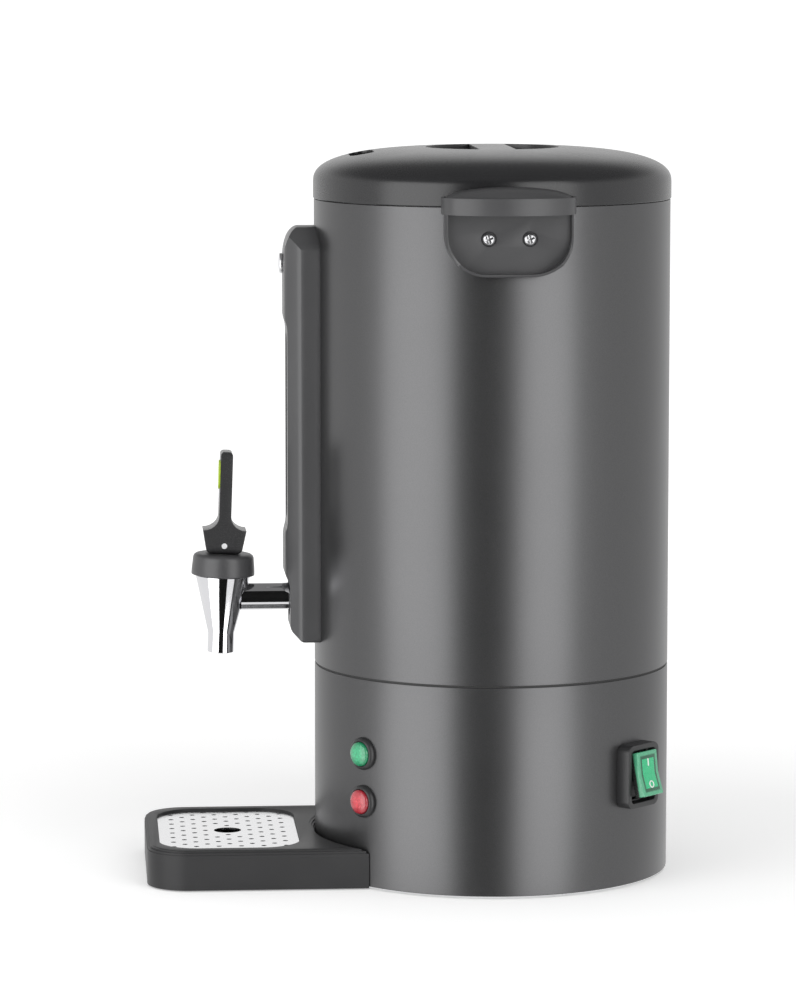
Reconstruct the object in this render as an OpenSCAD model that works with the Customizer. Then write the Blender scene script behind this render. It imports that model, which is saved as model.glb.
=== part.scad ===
// Coffee urn with a front tap, a sight glass, a lift-off lid, two side handles and a drip tray.
// Millimetres, +Z up. The front faces -Y, and the origin is on the urn's axis in the worktop plane.

/* [Body] */
// Outer diameter of the jacket and of the base housing
body_d = 220; // [205:1:240]
// Gap between the worktop and the base housing
foot_lift = 1.5; // [1.2:0.1:4]
// Height of the base housing
base_h = 127.5; // [124:0.5:150]
// Wall of the base housing
base_wall = 3; // [2:0.1:4]
// Height of the seam ring that shows between base and jacket
seam_h = 1.2; // [0.8:0.1:3]
// How far the seam ring stands back from the jacket's face
seam_inset = 0.6; // [0.3:0.1:1.2]
// Height of the jacket
jacket_h = 287.3; // [276:0.5:330]
// Wall of the jacket
jacket_wall = 1.2; // [0.8:0.1:2]
// Gap of a fixed fit between two round shells
fit_gap = 0.15; // [0.1:0.05:0.25]

/* [Vessel] */
// Gap between the jacket and the inner vessel
vessel_gap = 9.8; // [8:0.2:12]
// Wall of the inner vessel
vessel_wall = 1.2; // [0.8:0.1:1.6]
// Height of the vessel's underside above the jacket's lower edge
vessel_rise = 11.8; // [10:0.2:16]
// Bottom corner radius of the vessel
vessel_corner = 9; // [5:0.5:12]

/* [Lid] */
// Height of the lid's upright side
lid_side_h = 10.2; // [8:0.2:14]
// Rise of the lid's crown above its side
crown_h = 21.5; // [20:0.5:28]
// Wall of the lid shell
lid_wall = 2.5; // [2:0.1:3]
// How far the lid's side stands out past the jacket
lid_overhang = 0.5; // [0:0.1:1]
// Gap under the lid's edge
lid_gap = 0.3; // [0.2:0.1:0.8]
// Diameter of the round grip recess
grip_d = 82; // [76:1:88]
// Width of the grip bar across the recess
grip_bar_w = 22; // [18:1:28]
// Depth of the grip recess below the top of the crown
grip_depth = 21; // [14:1:22]
// Width of the steam slot behind the lid's front edge
vent_w = 40; // [30:1:44]
// Front-to-back size of the steam slot
vent_d = 15; // [10:1:18]
// Angle that one locking lug covers
lug_deg = 20; // [14:1:26]

/* [Handles] */
// Width of each side handle
handle_w = 80; // [72:1:90]
// How far each handle stands out from the jacket
handle_out = 24; // [20:1:28]
// Height of the upright handle band
band_h = 10; // [8:0.5:12]
// Height from the handle's lowest edge to its highest point
handle_h = 53.4; // [50:0.2:60]
// Rise of the pillowed top above the band
pillow_h = 6.2; // [4:0.2:8]
// Wall of the pocket's rim
rim_wall = 2.2; // [1.6:0.1:2.6]
// Wall behind the finger pocket
pocket_back = 2.6; // [2:0.1:3.2]
// Distance between the two handle screws
screw_gap = 24.6; // [20:0.2:30]

/* [Column] */
// Half width of the gauge column
column_half = 24; // [21:0.5:27]
// Half width of the column's front face
front_half = 14; // [11:0.5:16]
// Height of the gauge column
column_h = 256.6; // [240:0.2:262]
// Height of the column's lower end above the jacket's lower edge
column_rise = 14.2; // [10:0.2:18]
// Depth of the column's front face in front of the jacket
column_out = 19.4; // [18:0.2:24]
// Wall of the column cover
column_wall = 2.2; // [1.6:0.1:2.6]
// Outer diameter of the sight tube
tube_d = 10; // [8:0.5:10]
// Wall of the sight tube
tube_wall = 1.2; // [0.8:0.1:1.6]
// Diameter of the round plug button
button_d = 12.3; // [10:0.1:14]
// Diameter of the opening round the tap's shank
shank_open_d = 24; // [22:0.5:26]

/* [Tap] */
// Distance of the tap's axis in front of the jacket
tap_out = 57.6; // [54:0.2:64]
// Height of the tap's shank above the jacket's lower edge
shank_rise = 40.6; // [38:0.2:44]
// Diameter of the shank
shank_d = 16.8; // [15:0.2:17.6]
// Bore of the shank
shank_bore = 11; // [8:0.5:12]
// Lean of the tap towards the urn
tap_lean = 2; // [0:0.5:3]
// Radius of the tap's cone at its top
cone_top_r = 17; // [16.6:0.1:18]
// Outer radius of the spout
spout_r = 8.2; // [7.8:0.1:9]
// Bore of the spout
spout_bore = 11.8; // [10:0.2:12.4]
// Length of the tap from the shank's axis down to the spout's outlet
spout_drop = 34.4; // [32:0.2:38]
// Height of the cap over the tap's cone
cap_h = 13.4; // [12:0.2:16]
// Radius of that cap at its lower edge
cap_r = 19.6; // [19.2:0.1:21]
// Width of the tap lever across its pin
lever_w = 22; // [18:0.5:24]
// Height of the tap lever above its pin
lever_h = 58.2; // [54:0.2:64]
// Thickness of the tap lever's handle
lever_t = 7.5; // [6:0.1:8.4]
// Diameter of the coloured insert in the tap lever
insert_d = 18; // [14:0.5:18]
// Diameter of the lever's pin
pin_d = 3.5; // [3:0.1:4]

/* [Lamps and switch] */
// Angle of the two lamps from the front
lamp_angle = 40; // [36:1:50]
// Height of the lower lamp above the worktop
lamp_low = 54; // [48:0.5:60]
// Distance between the lamps
lamp_step = 29.5; // [28:0.5:36]
// Outer diameter of a lamp's bezel
lamp_d = 20; // [18:0.5:22]
// Diameter of a lamp's lens
lens_d = 15; // [12:0.5:16]
// Angle of the switch from the front
switch_angle = 137; // [125:1:145]
// Height of the switch's centre above the worktop
switch_z = 69.5; // [64:0.5:80]
// Width of the switch's bezel
switch_w = 31; // [30:0.5:34]
// Height of the switch's bezel
switch_h = 39; // [38:0.5:42]
// Depth of the switch's bezel in front of the housing
switch_t = 8; // [7:0.2:10]
// Half of the rocker's swing
rocker_deg = 12; // [8:1:12]
// Angle of the cord gland from the front, on the side away from the switch
gland_angle = 215; // [210:1:222]
// Diameter of the cord that the gland takes
gland_bore = 8; // [6:0.5:9]

/* [Brewing] */
// Outer diameter of the pump tube
pump_d = 10; // [9:0.5:12]
// Gap between the coffee basket and the lid's skirt
basket_gap = 6.5; // [4:0.5:10]
// Height of the coffee basket
basket_h = 60; // [45:1:66]
// Wall of the coffee basket
basket_wall = 1; // [0.8:0.1:1.4]

/* [Drip tray] */
// Width of the drip tray
tray_w = 150; // [144:1:170]
// How far the tray's front edge stands out from the housing
tray_out = 106; // [102:1:116]
// Height of the tray
tray_h = 25; // [20:0.5:32]
// Corner radius of the tray's front
tray_corner = 26; // [20:0.5:30]
// Gap between the tray and the housing
tray_gap = 0.5; // [0.3:0.1:0.9]
// Width of the grille
grille_w = 128; // [116:1:132]
// Front-to-back size of the grille
grille_d = 86; // [80:1:88]
// Corner radius of the grille
grille_corner = 24; // [18:1:28]
// Thickness of the grille
grille_t = 1.2; // [1:0.1:2]
// Diameter of the hole in the middle of the grille
grille_hole = 17; // [14:0.5:20]
// Diameter of the small holes
drain_d = 3.2; // [2.4:0.1:4]
// Distance between rows of small holes, front to back
drain_step_y = 6.9; // [6:0.1:9]
// Distance between small holes within a row
drain_step_x = 14.6; // [12:0.2:18]

/* [Hidden] */
$fa = 1;
$fs = 0.6;

// Overrun of every cut past the face that it opens
cut = 1;
// Facets of a wide cylinder that a thin piece is trimmed to
fine = 720;
// Running clearance of a pin or shaft, on the radius
run_gap = 0.05;
// Clearance between faces that move past each other
slide_gap = 0.3;

// Body levels and radii
body_r = body_d / 2;
base_in_r = body_r - base_wall;
base_top = foot_lift + base_h;
jacket_z = base_top + seam_h;
jacket_top = jacket_z + jacket_h;
jacket_in_r = body_r - jacket_wall;
seam_rib = 3;
seam_spigot_h = 8;
seam_lip_h = 7;

// Base plate, its screws and its feet
plate_t = 2;
plate_r = base_in_r - fit_gap;
plate_top = foot_lift + plate_t;
boss_r = 6;
boss_h = 16;
boss_bite = 1;
boss_ring = base_in_r - boss_r + boss_bite;
boss_first = 20;
base_screw_r = 1.9;
base_screw_len = 13;
base_screw_head_r = 3.4;
base_screw_head_h = 1.1;
foot_r = 9;
foot_step = 17;
foot_ring = base_in_r - foot_step;
foot_first = 65;
foot_peg_r = 4;
foot_head_r = 5.4;
foot_head_h = 1.6;
cool_hole_r = 3;
cool_step = 41;
cool_ring = base_in_r - cool_step;
cool_count = 18;
corner_count = 4;

// Inner vessel and neck ring
corner_step = 15;
vessel_r = jacket_in_r - vessel_gap;
vessel_in_r = vessel_r - vessel_wall;
vessel_z = jacket_z + vessel_rise;
vessel_floor = vessel_z + vessel_wall;
neck_h = 13.5;
neck_z = jacket_top - neck_h;
neck_out_r = jacket_in_r - fit_gap;
neck_wall = 3.2;
neck_in_r = neck_out_r - neck_wall;
neck_flange_t = 3;
neck_flange_drop = 3.5;
neck_flange_top = jacket_top - neck_flange_drop;
neck_flange_z = neck_flange_top - neck_flange_t;
mouth_step = 13.5;
mouth_r = neck_in_r - mouth_step;
ledge_h = 1.2;
ledge_w = 3.2;
ledge_in_r = jacket_in_r - ledge_w;
vessel_flange_z = neck_z - vessel_wall;
stud_r = 2.5;
stud_len = 9;
stud_ring = 30;
stud_count = 3;

// Lid
lid_r = body_r + lid_overhang;
lid_z = jacket_top + lid_gap;
lid_in_r = lid_r - lid_wall;
crown_z = lid_z + lid_side_h;
lid_top = crown_z + crown_h;
crown_fall = 3.3;
crown_round = 2.5;
crown_step = 6;
grip_r = grip_d / 2;
grip_floor = lid_top - grip_depth;
grip_bar_drop = 0.8;
vent_margin = 22;
vent_y = lid_r - vent_margin - vent_d / 2;
liner_t = 2;
liner_lift = 1.2;
liner_z = lid_z + liner_lift;
liner_r = lid_in_r - fit_gap;
skirt_gap = 1.5;
skirt_r = mouth_r - skirt_gap;
skirt_wall = 2;
lug_count = 3;
lug_t = 3;
lug_gap = 0.4;
lug_out = 4;
lug_r = mouth_r + lug_out;
lug_z = neck_flange_z - lug_gap - lug_t;
lug_entry_deg = 6;
lug_first = 90;
gasket_gap = 0.3;
gasket_step = 5;
gasket_in_r = mouth_r + gasket_step;
gasket_w = 6;
gasket_top_gap = 0.1;
lid_boss_r = 4.5;
lid_boss_ring = 70;
lid_screw_r = 1.9;
lid_screw_len = 12;
lid_screw_head_r = 3.6;
lid_screw_head_h = 1.6;
steam_hole_r = 2;
steam_step = 9;

// Handles
handle_top_rise = 12.5;
handle_top = jacket_top + handle_top_rise;
handle_z = handle_top - handle_h;
band_top = handle_top - pillow_h;
band_z = band_top - band_h;
oval_front_r = 60;
oval_corner_r = 18;
oval_x = body_r + handle_out - oval_front_r;
oval_corner_y = handle_w / 2 - oval_corner_r;
oval_corner_x = oval_x + sqrt(pow(oval_front_r - oval_corner_r, 2) - pow(oval_corner_y, 2));
oval_turn = atan2(oval_corner_y, oval_corner_x - oval_x);
oval_step = 6;
handle_bury = 15;
handle_root = body_r - handle_bury;
handle_lid_gap = 0.6;
cup_inset = 1.5;
cup_corner = 25;
cup_low_out = 6;
cup_high_out = 12;
roof_t = 4;
pillow_long_r = 150;
pillow_short_r = 59;
pillow_back = 2;
pillow_mid = body_r - pillow_back;
handle_screw_drop = 18.5;
handle_screw_z = jacket_top - handle_screw_drop;
screw_seat_r = 4.6;
screw_seat_h = 0.6;
screw_seat_x = body_r + pocket_back + screw_seat_h;
handle_screw_r = 1.95;
handle_screw_head_r = 3.75;
handle_screw_head_h = 2.2;
handle_screw_len = 11;
cross_l = 3.6;
cross_w = 0.9;
cross_deep = 1.1;
backing_t = 3.6;
backing_w = 42;
backing_h = 15;
backing_top_gap = 0.3;

// Gauge column
column_z = jacket_z + column_rise;
column_top = column_z + column_h;
front_y = body_r + column_out;
side_back = 9.9;
side_y = front_y - side_back;
window_back = 2;
window_y = front_y - window_back;
tap_face_back = 3.4;
tap_face_y = front_y - tap_face_back;
column_foot_back = 10.9;
column_foot_y = front_y - column_foot_back;
column_head_back = 10.1;
column_head_y = front_y - column_head_back;
foot_cham_h = 7.6;
tap_face_h = 35.1;
block_low_h = 42.6;
block_high_h = 65.6;
window_low_h = 72.6;
window_high_drop = 62;
window_top_drop = 55;
shoulder_h = 21;
shoulder_step = 15;
side_top_h = 13;
side_top_half = 11;
column_bury = 12;
column_back = body_r - column_bury;
slot_w = 13;
slot_low_h = 76;
slot_top_drop = 66;
tube_r = tube_d / 2;
tube_step = 7;
tube_y = body_r + tube_step;
elbow_half = 10;
elbow_low = 12;
elbow_high = 19.2;
elbow_front_gap = 0.4;
tube_seat_h = 12.7;
seal_wall = 1;
seal_h = 5;
feed_r = 2.6;
button_drop = 23;
button_out = 2.6;
button_dome = 0.8;
button_screw_r = 3;
button_screw_len = 11;
holder_half = 10;
holder_low = 39;
holder_high = 15;
holder_front_drop = 3.4;
holder_stud_r = 4;
holder_stud_len = 5;
tube_top_drop = 33;

// Tap
tap_y = body_r + tap_out;
shank_z = jacket_z + shank_rise;
shank_r = shank_d / 2;
shank_bore_r = shank_bore / 2;
shank_end = 11.6;
shank_tail = 11.8;
shank_hole_gap = 0.1;
seal_t = 2;
seal_r = 13;
nut_flat_r = 13;
nut_t = 5;
six = 6;
cone_top_h = 13.6;
cone_low_h = 22.2;
neck_r = 14.4;
neck_top_h = 23.6;
neck_bore_r = 12.4;
cap_low_h = 14;
cap_top_r = 18.8;
cap_round = 3;
cap_thread_gap = 0.1;
cap_roof = 3.4;
cap_top_h = cap_low_h + cap_h;
spout_bore_r = spout_bore / 2;
seat_h = 12;
chamber_low_r = 8.3;
chamber_low_h = 9.5;
chamber_high_h = 8;
stem_r = 3;
stem_low_h = 9;
pin_rise = 5.6;
pin_h = cap_top_h + pin_rise;
pin_proud = 0.25;
eye_r = 4;
eye_w = 6;
pin_r = pin_d / 2;
cup_seal_r = 7.6;
cup_seal_h = 7.5;
cup_seal_gap = 0.2;
cup_seal_low = -seat_h + cup_seal_gap
    + (cup_seal_r - spout_bore_r) * (seat_h - chamber_low_h) / (chamber_low_r - spout_bore_r);
spring_mean_r = 6;
spring_wire_r = 0.6;
spring_turns = 6;
spring_sides = 6;
spring_per_turn = 14;
spring_gap = 0.3;
lever_low = 5.3;
lever_low_half = 11.35;
lever_low_round = 4;
lever_wing_half = 13.4;
lever_wing_h = 9.5;
lever_sweep_h = 18;
lever_top_round = 2.5;
lever_arc_step = 15;
lever_face_round = 5;
slot_half = eye_w / 2 + slide_gap;
slot_reach = 6.8;
slot_top = 4.7;
insert_h = 43.4;
insert_t = 1.9;
insert_out = 0.9;

// Lamps
lamp_out = 3.4;
lamp_sink = 1;
lens_out = 6;
lens_low = 1;
lens_dome = 1.6;
lens_r = lens_d / 2;
barrel_r = 7.9;
barrel_len = 26;
barrel_gap = 0.1;
lamp_nut_r = 11;
lamp_nut_t = 4;
lamp_count = 2;

// Switch, in its own frame: x across, y up, z outwards, from the housing's face
switch_round = 5;
switch_open_w = 24.4;
switch_open_h = 32.4;
switch_step_w = 21.6;
switch_step_h = 30;
switch_step_t = 2;
switch_body_w = 20;
switch_body_h = 28;
switch_body_len = 30;
switch_hole_gap = 0.4;
rocker_axis = 3;
rocker_w = 14.6;
rocker_half = 11;
rocker_low = 1.8;
rocker_high = 8.5;
rocker_mid = 7.1;
hub_r = 2.1;
hub_pin_r = 1.2;
ear_t = 2;
ear_half = 3;
ear_top = 2.4;
boot_w = 20;
boot_half = 13.6;
boot_low = 3.4;
boot_high = 10.4;
boot_mid = 9;
boot_wall = 1.2;
switch_floor = 0.6;

// Cord gland
gland_z = 25;
gland_flange_r = 10;
gland_flange_t = 3;
gland_barrel_r = 7;
gland_len = 18;
gland_nut_r = 10;
gland_nut_t = 4;

// Heating parts under the vessel
element_r = 84;
element_t = 2.6;
element_z = vessel_z - element_t;
ring_r = 60;
ring_tube_r = 4;
ring_sink = 0.6;
heater_z = element_z - ring_tube_r;
heater_pin_r = 2;
heater_pin_len = 14;
heater_pin_gap = 14;
plate_nut_r = 5;
plate_nut_t = 3;
stat_r = 9;
stat_h = 11;
cutout_w = 22;
cutout_d = 13;
cutout_h = 9;
cutout_y = 39;
block_w = 44;
block_d = 20;
block_h = 18;
block_x = -20;
block_y = 18;
block_screw_r = 2.6;
block_ways = 4;
wire_r = 2;
wire_rise = 26;

// Percolator
pump_r = pump_d / 2;
pump_wall = 1.2;
pump_top_drop = 22;
pump_top = jacket_top - pump_top_drop;
pump_rise = 7;
pump_low = vessel_floor + pump_rise;
foot_bell_r = 32;
foot_bell_h = 13;
foot_bell_wall = 1.2;
bell_gap = 0.3;
bell_hub_r = 9;
bell_hole_r = 2.5;
bell_holes = 6;
rest_r = 9;
rest_t = 3;
basket_top_drop = 32;
basket_top = jacket_top - basket_top_drop;
basket_z = basket_top - basket_h;
basket_r = skirt_r - skirt_wall - basket_gap;
basket_rim = 1.6;
sleeve_wall = 1;
sleeve_gap = 0.2;
sleeve_h = 46;
basket_hole_r = 1.4;
basket_rings = 4;
basket_hole_in_r = 16;
basket_ring_step = 16;
basket_hole_pitch = 11;
cover_gap = 0.1;
cover_t = 1.2;
cover_lip_h = 3;
cover_lip_gap = 0.8;
cover_ring = 44;
cover_holes = 18;

// Drip tray
tray_front = body_r + tray_out;
tray_lift = 0.8;
tray_bury = 44;
tray_back = body_r - tray_bury;
tray_round = 4.5;
tray_round_step = 22.5;
grille_margin = 8;
grille_mid = tray_front - grille_margin - grille_d / 2;
grille_sink = 1.5;
grille_gap = 0.4;
grille_top = tray_h - grille_sink;
grille_z = grille_top - grille_t;
grille_rest_gap = 0.1;
bowl_step = 5;
bowl_wall = 2.6;
bowl_floor = tray_lift + bowl_wall;
tray_foot_r = 6;
tray_foot_h = 1.6;
tray_foot_x = 52;
tray_foot_front = 22;
tray_foot_back = 96;
drain_edge = 5.5;
drain_mid_gap = 4;

// Shapes that several pieces share

// Ring between two radii, standing on z = 0
module ring(outer, inner, h) {
    difference() {
        cylinder(r = outer, h = h);
        translate([0, 0, -cut]) cylinder(r = inner, h = h + 2 * cut);
    }
}

// Flat outline with four round corners
module round_plate(w, d, r) {
    square([w - 2 * r, d], center = true);
    square([w, d - 2 * r], center = true);
    for (x = [-1, 1], y = [-1, 1])
        translate([x * (w / 2 - r), y * (d / 2 - r)]) circle(r = r);
}

// Children stand on the housing's side at an angle from the front: x across, y up, z outwards
module at_side(angle, z) {
    rotate([0, 0, angle]) translate([0, 0, z]) rotate([90, 0, 0]) children();
}

// Wedge of a disc, measured from the front, that cuts or keeps one lug
module wedge(angle, width, r, h) {
    intersection() {
        cylinder(r = r, h = h);
        rotate([0, 0, angle]) linear_extrude(h)
            polygon([[0, 0], [2 * r * sin(width / 2), -2 * r * cos(width / 2)],
                [-2 * r * sin(width / 2), -2 * r * cos(width / 2)]]);
    }
}

// Straight rod between two points
module rod(a, b, r) {
    run = b - a;
    flat = norm([run[0], run[1]]);
    translate(a) rotate([0, atan2(flat, run[2]), atan2(run[1], run[0])]) cylinder(r = r, h = norm(run));
}

// Six-sided nut with a round hole
module hex_nut(r, hole, h) {
    difference() {
        cylinder(r = r, h = h, $fn = six);
        translate([0, 0, -cut]) cylinder(r = hole, h = h + 2 * cut);
    }
}

// Children in the tap's frame: its origin is on the shank's axis and it leans to the urn
module at_tap() {
    translate([0, -tap_y, shank_z]) rotate([-tap_lean, 0, 0]) children();
}

// Round bar along Y, from one distance in front of the axis to a larger one
module front_bar(r, near, far, z) {
    translate([0, -near, z]) rotate([90, 0, 0]) cylinder(r = r, h = far - near);
}

// Base

module base_housing() {
    color("#4c4c4d") difference() {
        union() {
            translate([0, 0, foot_lift]) ring(body_r, base_in_r, base_h);
            for (i = [0 : corner_count - 1])
                rotate([0, 0, boss_first + i * 360 / corner_count])
                    translate([0, -boss_ring, plate_top]) cylinder(r = boss_r, h = boss_h);
        }
        for (i = [0 : corner_count - 1])
            rotate([0, 0, boss_first + i * 360 / corner_count])
                translate([0, -boss_ring, plate_top - cut]) cylinder(r = base_screw_r, h = base_screw_len + cut);
        for (i = [0 : lamp_count - 1])
            at_side(lamp_angle, lamp_low + i * lamp_step)
                translate([0, 0, base_in_r - boss_r]) cylinder(r = barrel_r + barrel_gap, h = base_wall + 2 * boss_r);
        at_side(switch_angle, switch_z) translate([0, 0, base_in_r - boss_r])
            linear_extrude(base_wall + 2 * boss_r)
                square([switch_body_w + switch_hole_gap, switch_body_h + switch_hole_gap], center = true);
        at_side(gland_angle, gland_z)
            translate([0, 0, base_in_r - boss_r]) cylinder(r = gland_barrel_r, h = base_wall + 2 * boss_r);
    }
}

module base_plate() {
    color("silver") difference() {
        translate([0, 0, foot_lift]) cylinder(r = plate_r, h = plate_t);
        for (i = [0 : corner_count - 1]) {
            rotate([0, 0, boss_first + i * 360 / corner_count])
                translate([0, -boss_ring, foot_lift - cut]) cylinder(r = base_screw_r, h = plate_t + 2 * cut);
            rotate([0, 0, foot_first + i * 360 / corner_count])
                translate([0, -foot_ring, foot_lift - cut]) cylinder(r = foot_peg_r, h = plate_t + 2 * cut);
        }
        for (i = [0 : cool_count - 1])
            rotate([0, 0, i * 360 / cool_count])
                translate([0, -cool_ring, foot_lift - cut]) cylinder(r = cool_hole_r, h = plate_t + 2 * cut);
    }
}

module feet() {
    color("#202020") for (i = [0 : corner_count - 1])
        rotate([0, 0, foot_first + i * 360 / corner_count]) translate([0, -foot_ring, 0]) {
            cylinder(r = foot_r, h = foot_lift);
            cylinder(r = foot_peg_r, h = plate_top + foot_head_h);
            translate([0, 0, plate_top]) cylinder(r = foot_head_r, h = foot_head_h);
        }
}

module base_screws() {
    color("silver") for (i = [0 : corner_count - 1])
        rotate([0, 0, boss_first + i * 360 / corner_count]) translate([0, -boss_ring, 0]) {
            translate([0, 0, foot_lift - base_screw_head_h]) cylinder(r = base_screw_head_r, h = base_screw_head_h);
            translate([0, 0, foot_lift - base_screw_head_h / 2])
                cylinder(r = base_screw_r, h = base_screw_len + plate_t);
        }
}

module seam_ring() {
    spigot_r = base_in_r - fit_gap;
    inner = spigot_r - seam_rib;
    lip_r = jacket_in_r - fit_gap;
    color("#1c1c1c") rotate_extrude() polygon([
        [inner, base_top - seam_spigot_h], [spigot_r, base_top - seam_spigot_h], [spigot_r, base_top],
        [body_r - seam_inset, base_top], [body_r - seam_inset, jacket_z], [lip_r, jacket_z],
        [lip_r, jacket_z + seam_lip_h], [inner, jacket_z + seam_lip_h]]);
}

// Jacket, vessel and neck

module handle_screw_places() {
    for (side = [0, 180], y = [-1, 1])
        rotate([0, 0, side]) translate([0, y * screw_gap / 2, handle_screw_z]) rotate([0, 90, 0]) children();
}

module outer_jacket() {
    color("#505051") difference() {
        union() {
            translate([0, 0, jacket_z]) ring(body_r, jacket_in_r, jacket_h);
            translate([0, 0, vessel_flange_z - ledge_h]) ring(jacket_in_r + jacket_wall / 2, ledge_in_r, ledge_h);
        }
        front_bar(shank_r + shank_hole_gap, vessel_r, body_r + cut, shank_z);
        front_bar(holder_stud_r, vessel_r, body_r + cut, column_top - button_drop);
        handle_screw_places() cylinder(r = handle_screw_r + shank_hole_gap, h = body_r + cut);
    }
}

// Round cup with a rounded bottom edge, standing on z = 0
module cup_form(r, h, corner) {
    rotate_extrude() polygon(concat([[0, 0]],
        [for (a = [0 : corner_step : 90]) [r - corner + corner * sin(a), corner - corner * cos(a)]],
        [[r, h], [0, h]]));
}

module inner_vessel() {
    vessel_h = vessel_flange_z - vessel_z;
    color("#c8cacc") difference() {
        union() {
            translate([0, 0, vessel_z]) cup_form(vessel_r, vessel_h + vessel_wall, vessel_corner);
            translate([0, 0, vessel_flange_z]) cylinder(r = neck_out_r, h = vessel_wall);
            for (i = [0 : stud_count - 1])
                rotate([0, 0, i * 360 / stud_count])
                    translate([0, -stud_ring, vessel_z - stud_len]) cylinder(r = stud_r, h = stud_len + vessel_wall / 2);
        }
        translate([0, 0, vessel_floor])
            cup_form(vessel_in_r, vessel_h + vessel_wall + cut, vessel_corner - vessel_wall);
        front_bar(shank_r + shank_hole_gap, vessel_in_r - vessel_gap, body_r, shank_z);
    }
}

module neck_ring() {
    color("#242424") difference() {
        rotate_extrude() polygon([
            [mouth_r, neck_flange_z], [neck_in_r, neck_flange_z], [neck_in_r, neck_z], [neck_out_r, neck_z],
            [neck_out_r, jacket_top], [neck_in_r, jacket_top], [neck_in_r, neck_flange_top],
            [mouth_r, neck_flange_top]]);
        for (i = [0 : lug_count - 1])
            translate([0, 0, neck_flange_z - cut])
                wedge(lug_first + i * 360 / lug_count, lug_deg + lug_entry_deg, lug_r + skirt_gap / 2,
                    neck_flange_t + 2 * cut);
    }
}

// Handles

// Outline of a side handle from above: a flat front arc and two round corners, drawn in by an inset
function arc_points(x, y, r, from, to) =
    [for (a = [from : (to > from ? oval_step : -oval_step) : to]) [x + r * cos(a), y + r * sin(a)]];
function oval(inset) = concat(
    [[handle_root, -handle_w / 2 + inset]],
    arc_points(oval_corner_x, -oval_corner_y, oval_corner_r - inset, -90, -oval_turn),
    arc_points(oval_x, 0, oval_front_r - inset, -oval_turn, oval_turn),
    arc_points(oval_corner_x, oval_corner_y, oval_corner_r - inset, oval_turn, 90),
    [[handle_root, handle_w / 2 - inset]]);

// Cup under the band, seen from the side of the urn, drawn in by an inset
module cup_outline(inset) {
    half = handle_w / 2 - cup_inset - inset;
    low = handle_z + inset;
    r = cup_corner - inset;
    translate([-half, low + r]) square([2 * half, handle_top - low - r]);
    translate([-half + r, low]) square([2 * (half - r), handle_top - low]);
    for (side = [-1, 1]) translate([side * (half - r), low + r]) circle(r = r);
}

// Cup outline carried outwards along X
module cup_block(inset) {
    rotate([90, 0, 90]) linear_extrude(body_r + handle_out + cut) cup_outline(inset);
}

module handle_outside() {
    intersection() {
        cup_block(0);
        translate([0, 0, handle_z]) linear_extrude(band_z - handle_z) polygon(oval(cup_inset));
        rotate([90, 0, 0]) linear_extrude(handle_w, center = true) polygon([
            [handle_root, handle_z], [body_r + cup_low_out, handle_z],
            [body_r + cup_high_out, band_z], [handle_root, band_z]]);
    }
    intersection() {
        translate([0, 0, band_z]) linear_extrude(handle_top - band_z) polygon(oval(0));
        translate([pillow_mid, 0, handle_top - pillow_short_r]) rotate([90, 0, 0])
            cylinder(r = pillow_short_r, h = handle_w + 2 * cut, center = true);
        translate([0, 0, handle_top - pillow_long_r]) rotate([0, 90, 0])
            cylinder(r = pillow_long_r, h = body_r + handle_out + cut);
    }
}

module handle() {
    wall_in = cup_inset + rim_wall;
    difference() {
        union() {
            difference() {
                handle_outside();
                intersection() {
                    cup_block(rim_wall);
                    translate([0, 0, handle_z]) linear_extrude(handle_h - roof_t - pillow_h / 2)
                        polygon(oval(wall_in));
                    translate([0, 0, handle_z]) ring(body_r + 2 * handle_out, body_r + pocket_back, handle_h);
                }
            }
            for (y = [-1, 1])
                translate([body_r - cut, y * screw_gap / 2, handle_screw_z]) rotate([0, 90, 0])
                    cylinder(r = screw_seat_r, h = screw_seat_x - body_r + cut);
        }
        cylinder(r = body_r, h = handle_top);
        translate([0, 0, jacket_top]) cylinder(r = lid_r + handle_lid_gap, h = handle_h);
        for (y = [-1, 1])
            translate([0, y * screw_gap / 2, handle_screw_z]) rotate([0, 90, 0])
                cylinder(r = handle_screw_r + shank_hole_gap, h = body_r + handle_out);
    }
}

module handle_right() {
    color("#3c3c3d") handle();
}

module handle_left() {
    color("#3c3c3d") rotate([0, 0, 180]) handle();
}

module handle_screws() {
    color("silver") handle_screw_places() difference() {
        union() {
            translate([0, 0, screw_seat_x]) cylinder(r = handle_screw_head_r, h = handle_screw_head_h);
            translate([0, 0, screw_seat_x - handle_screw_len]) cylinder(r = handle_screw_r, h = handle_screw_len + cut);
        }
        for (turn = [0, 90])
            rotate([0, 0, turn]) translate([0, 0, screw_seat_x + handle_screw_head_h - cross_deep])
                linear_extrude(cross_deep + cut) square([cross_l, cross_w], center = true);
    }
}

module handle_backings() {
    low = vessel_flange_z - ledge_h - backing_top_gap - backing_h;
    color("silver") for (side = [0, 180]) rotate([0, 0, side]) difference() {
        intersection() {
            translate([0, 0, low]) ring(jacket_in_r, jacket_in_r - backing_t, backing_h);
            translate([vessel_r - jacket_wall, -backing_w / 2, low]) cube([2 * vessel_gap, backing_w, backing_h]);
        }
        for (y = [-1, 1])
            translate([0, y * screw_gap / 2, handle_screw_z]) rotate([0, 90, 0])
                cylinder(r = handle_screw_r, h = body_r);
    }
}

// Gauge column

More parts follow.
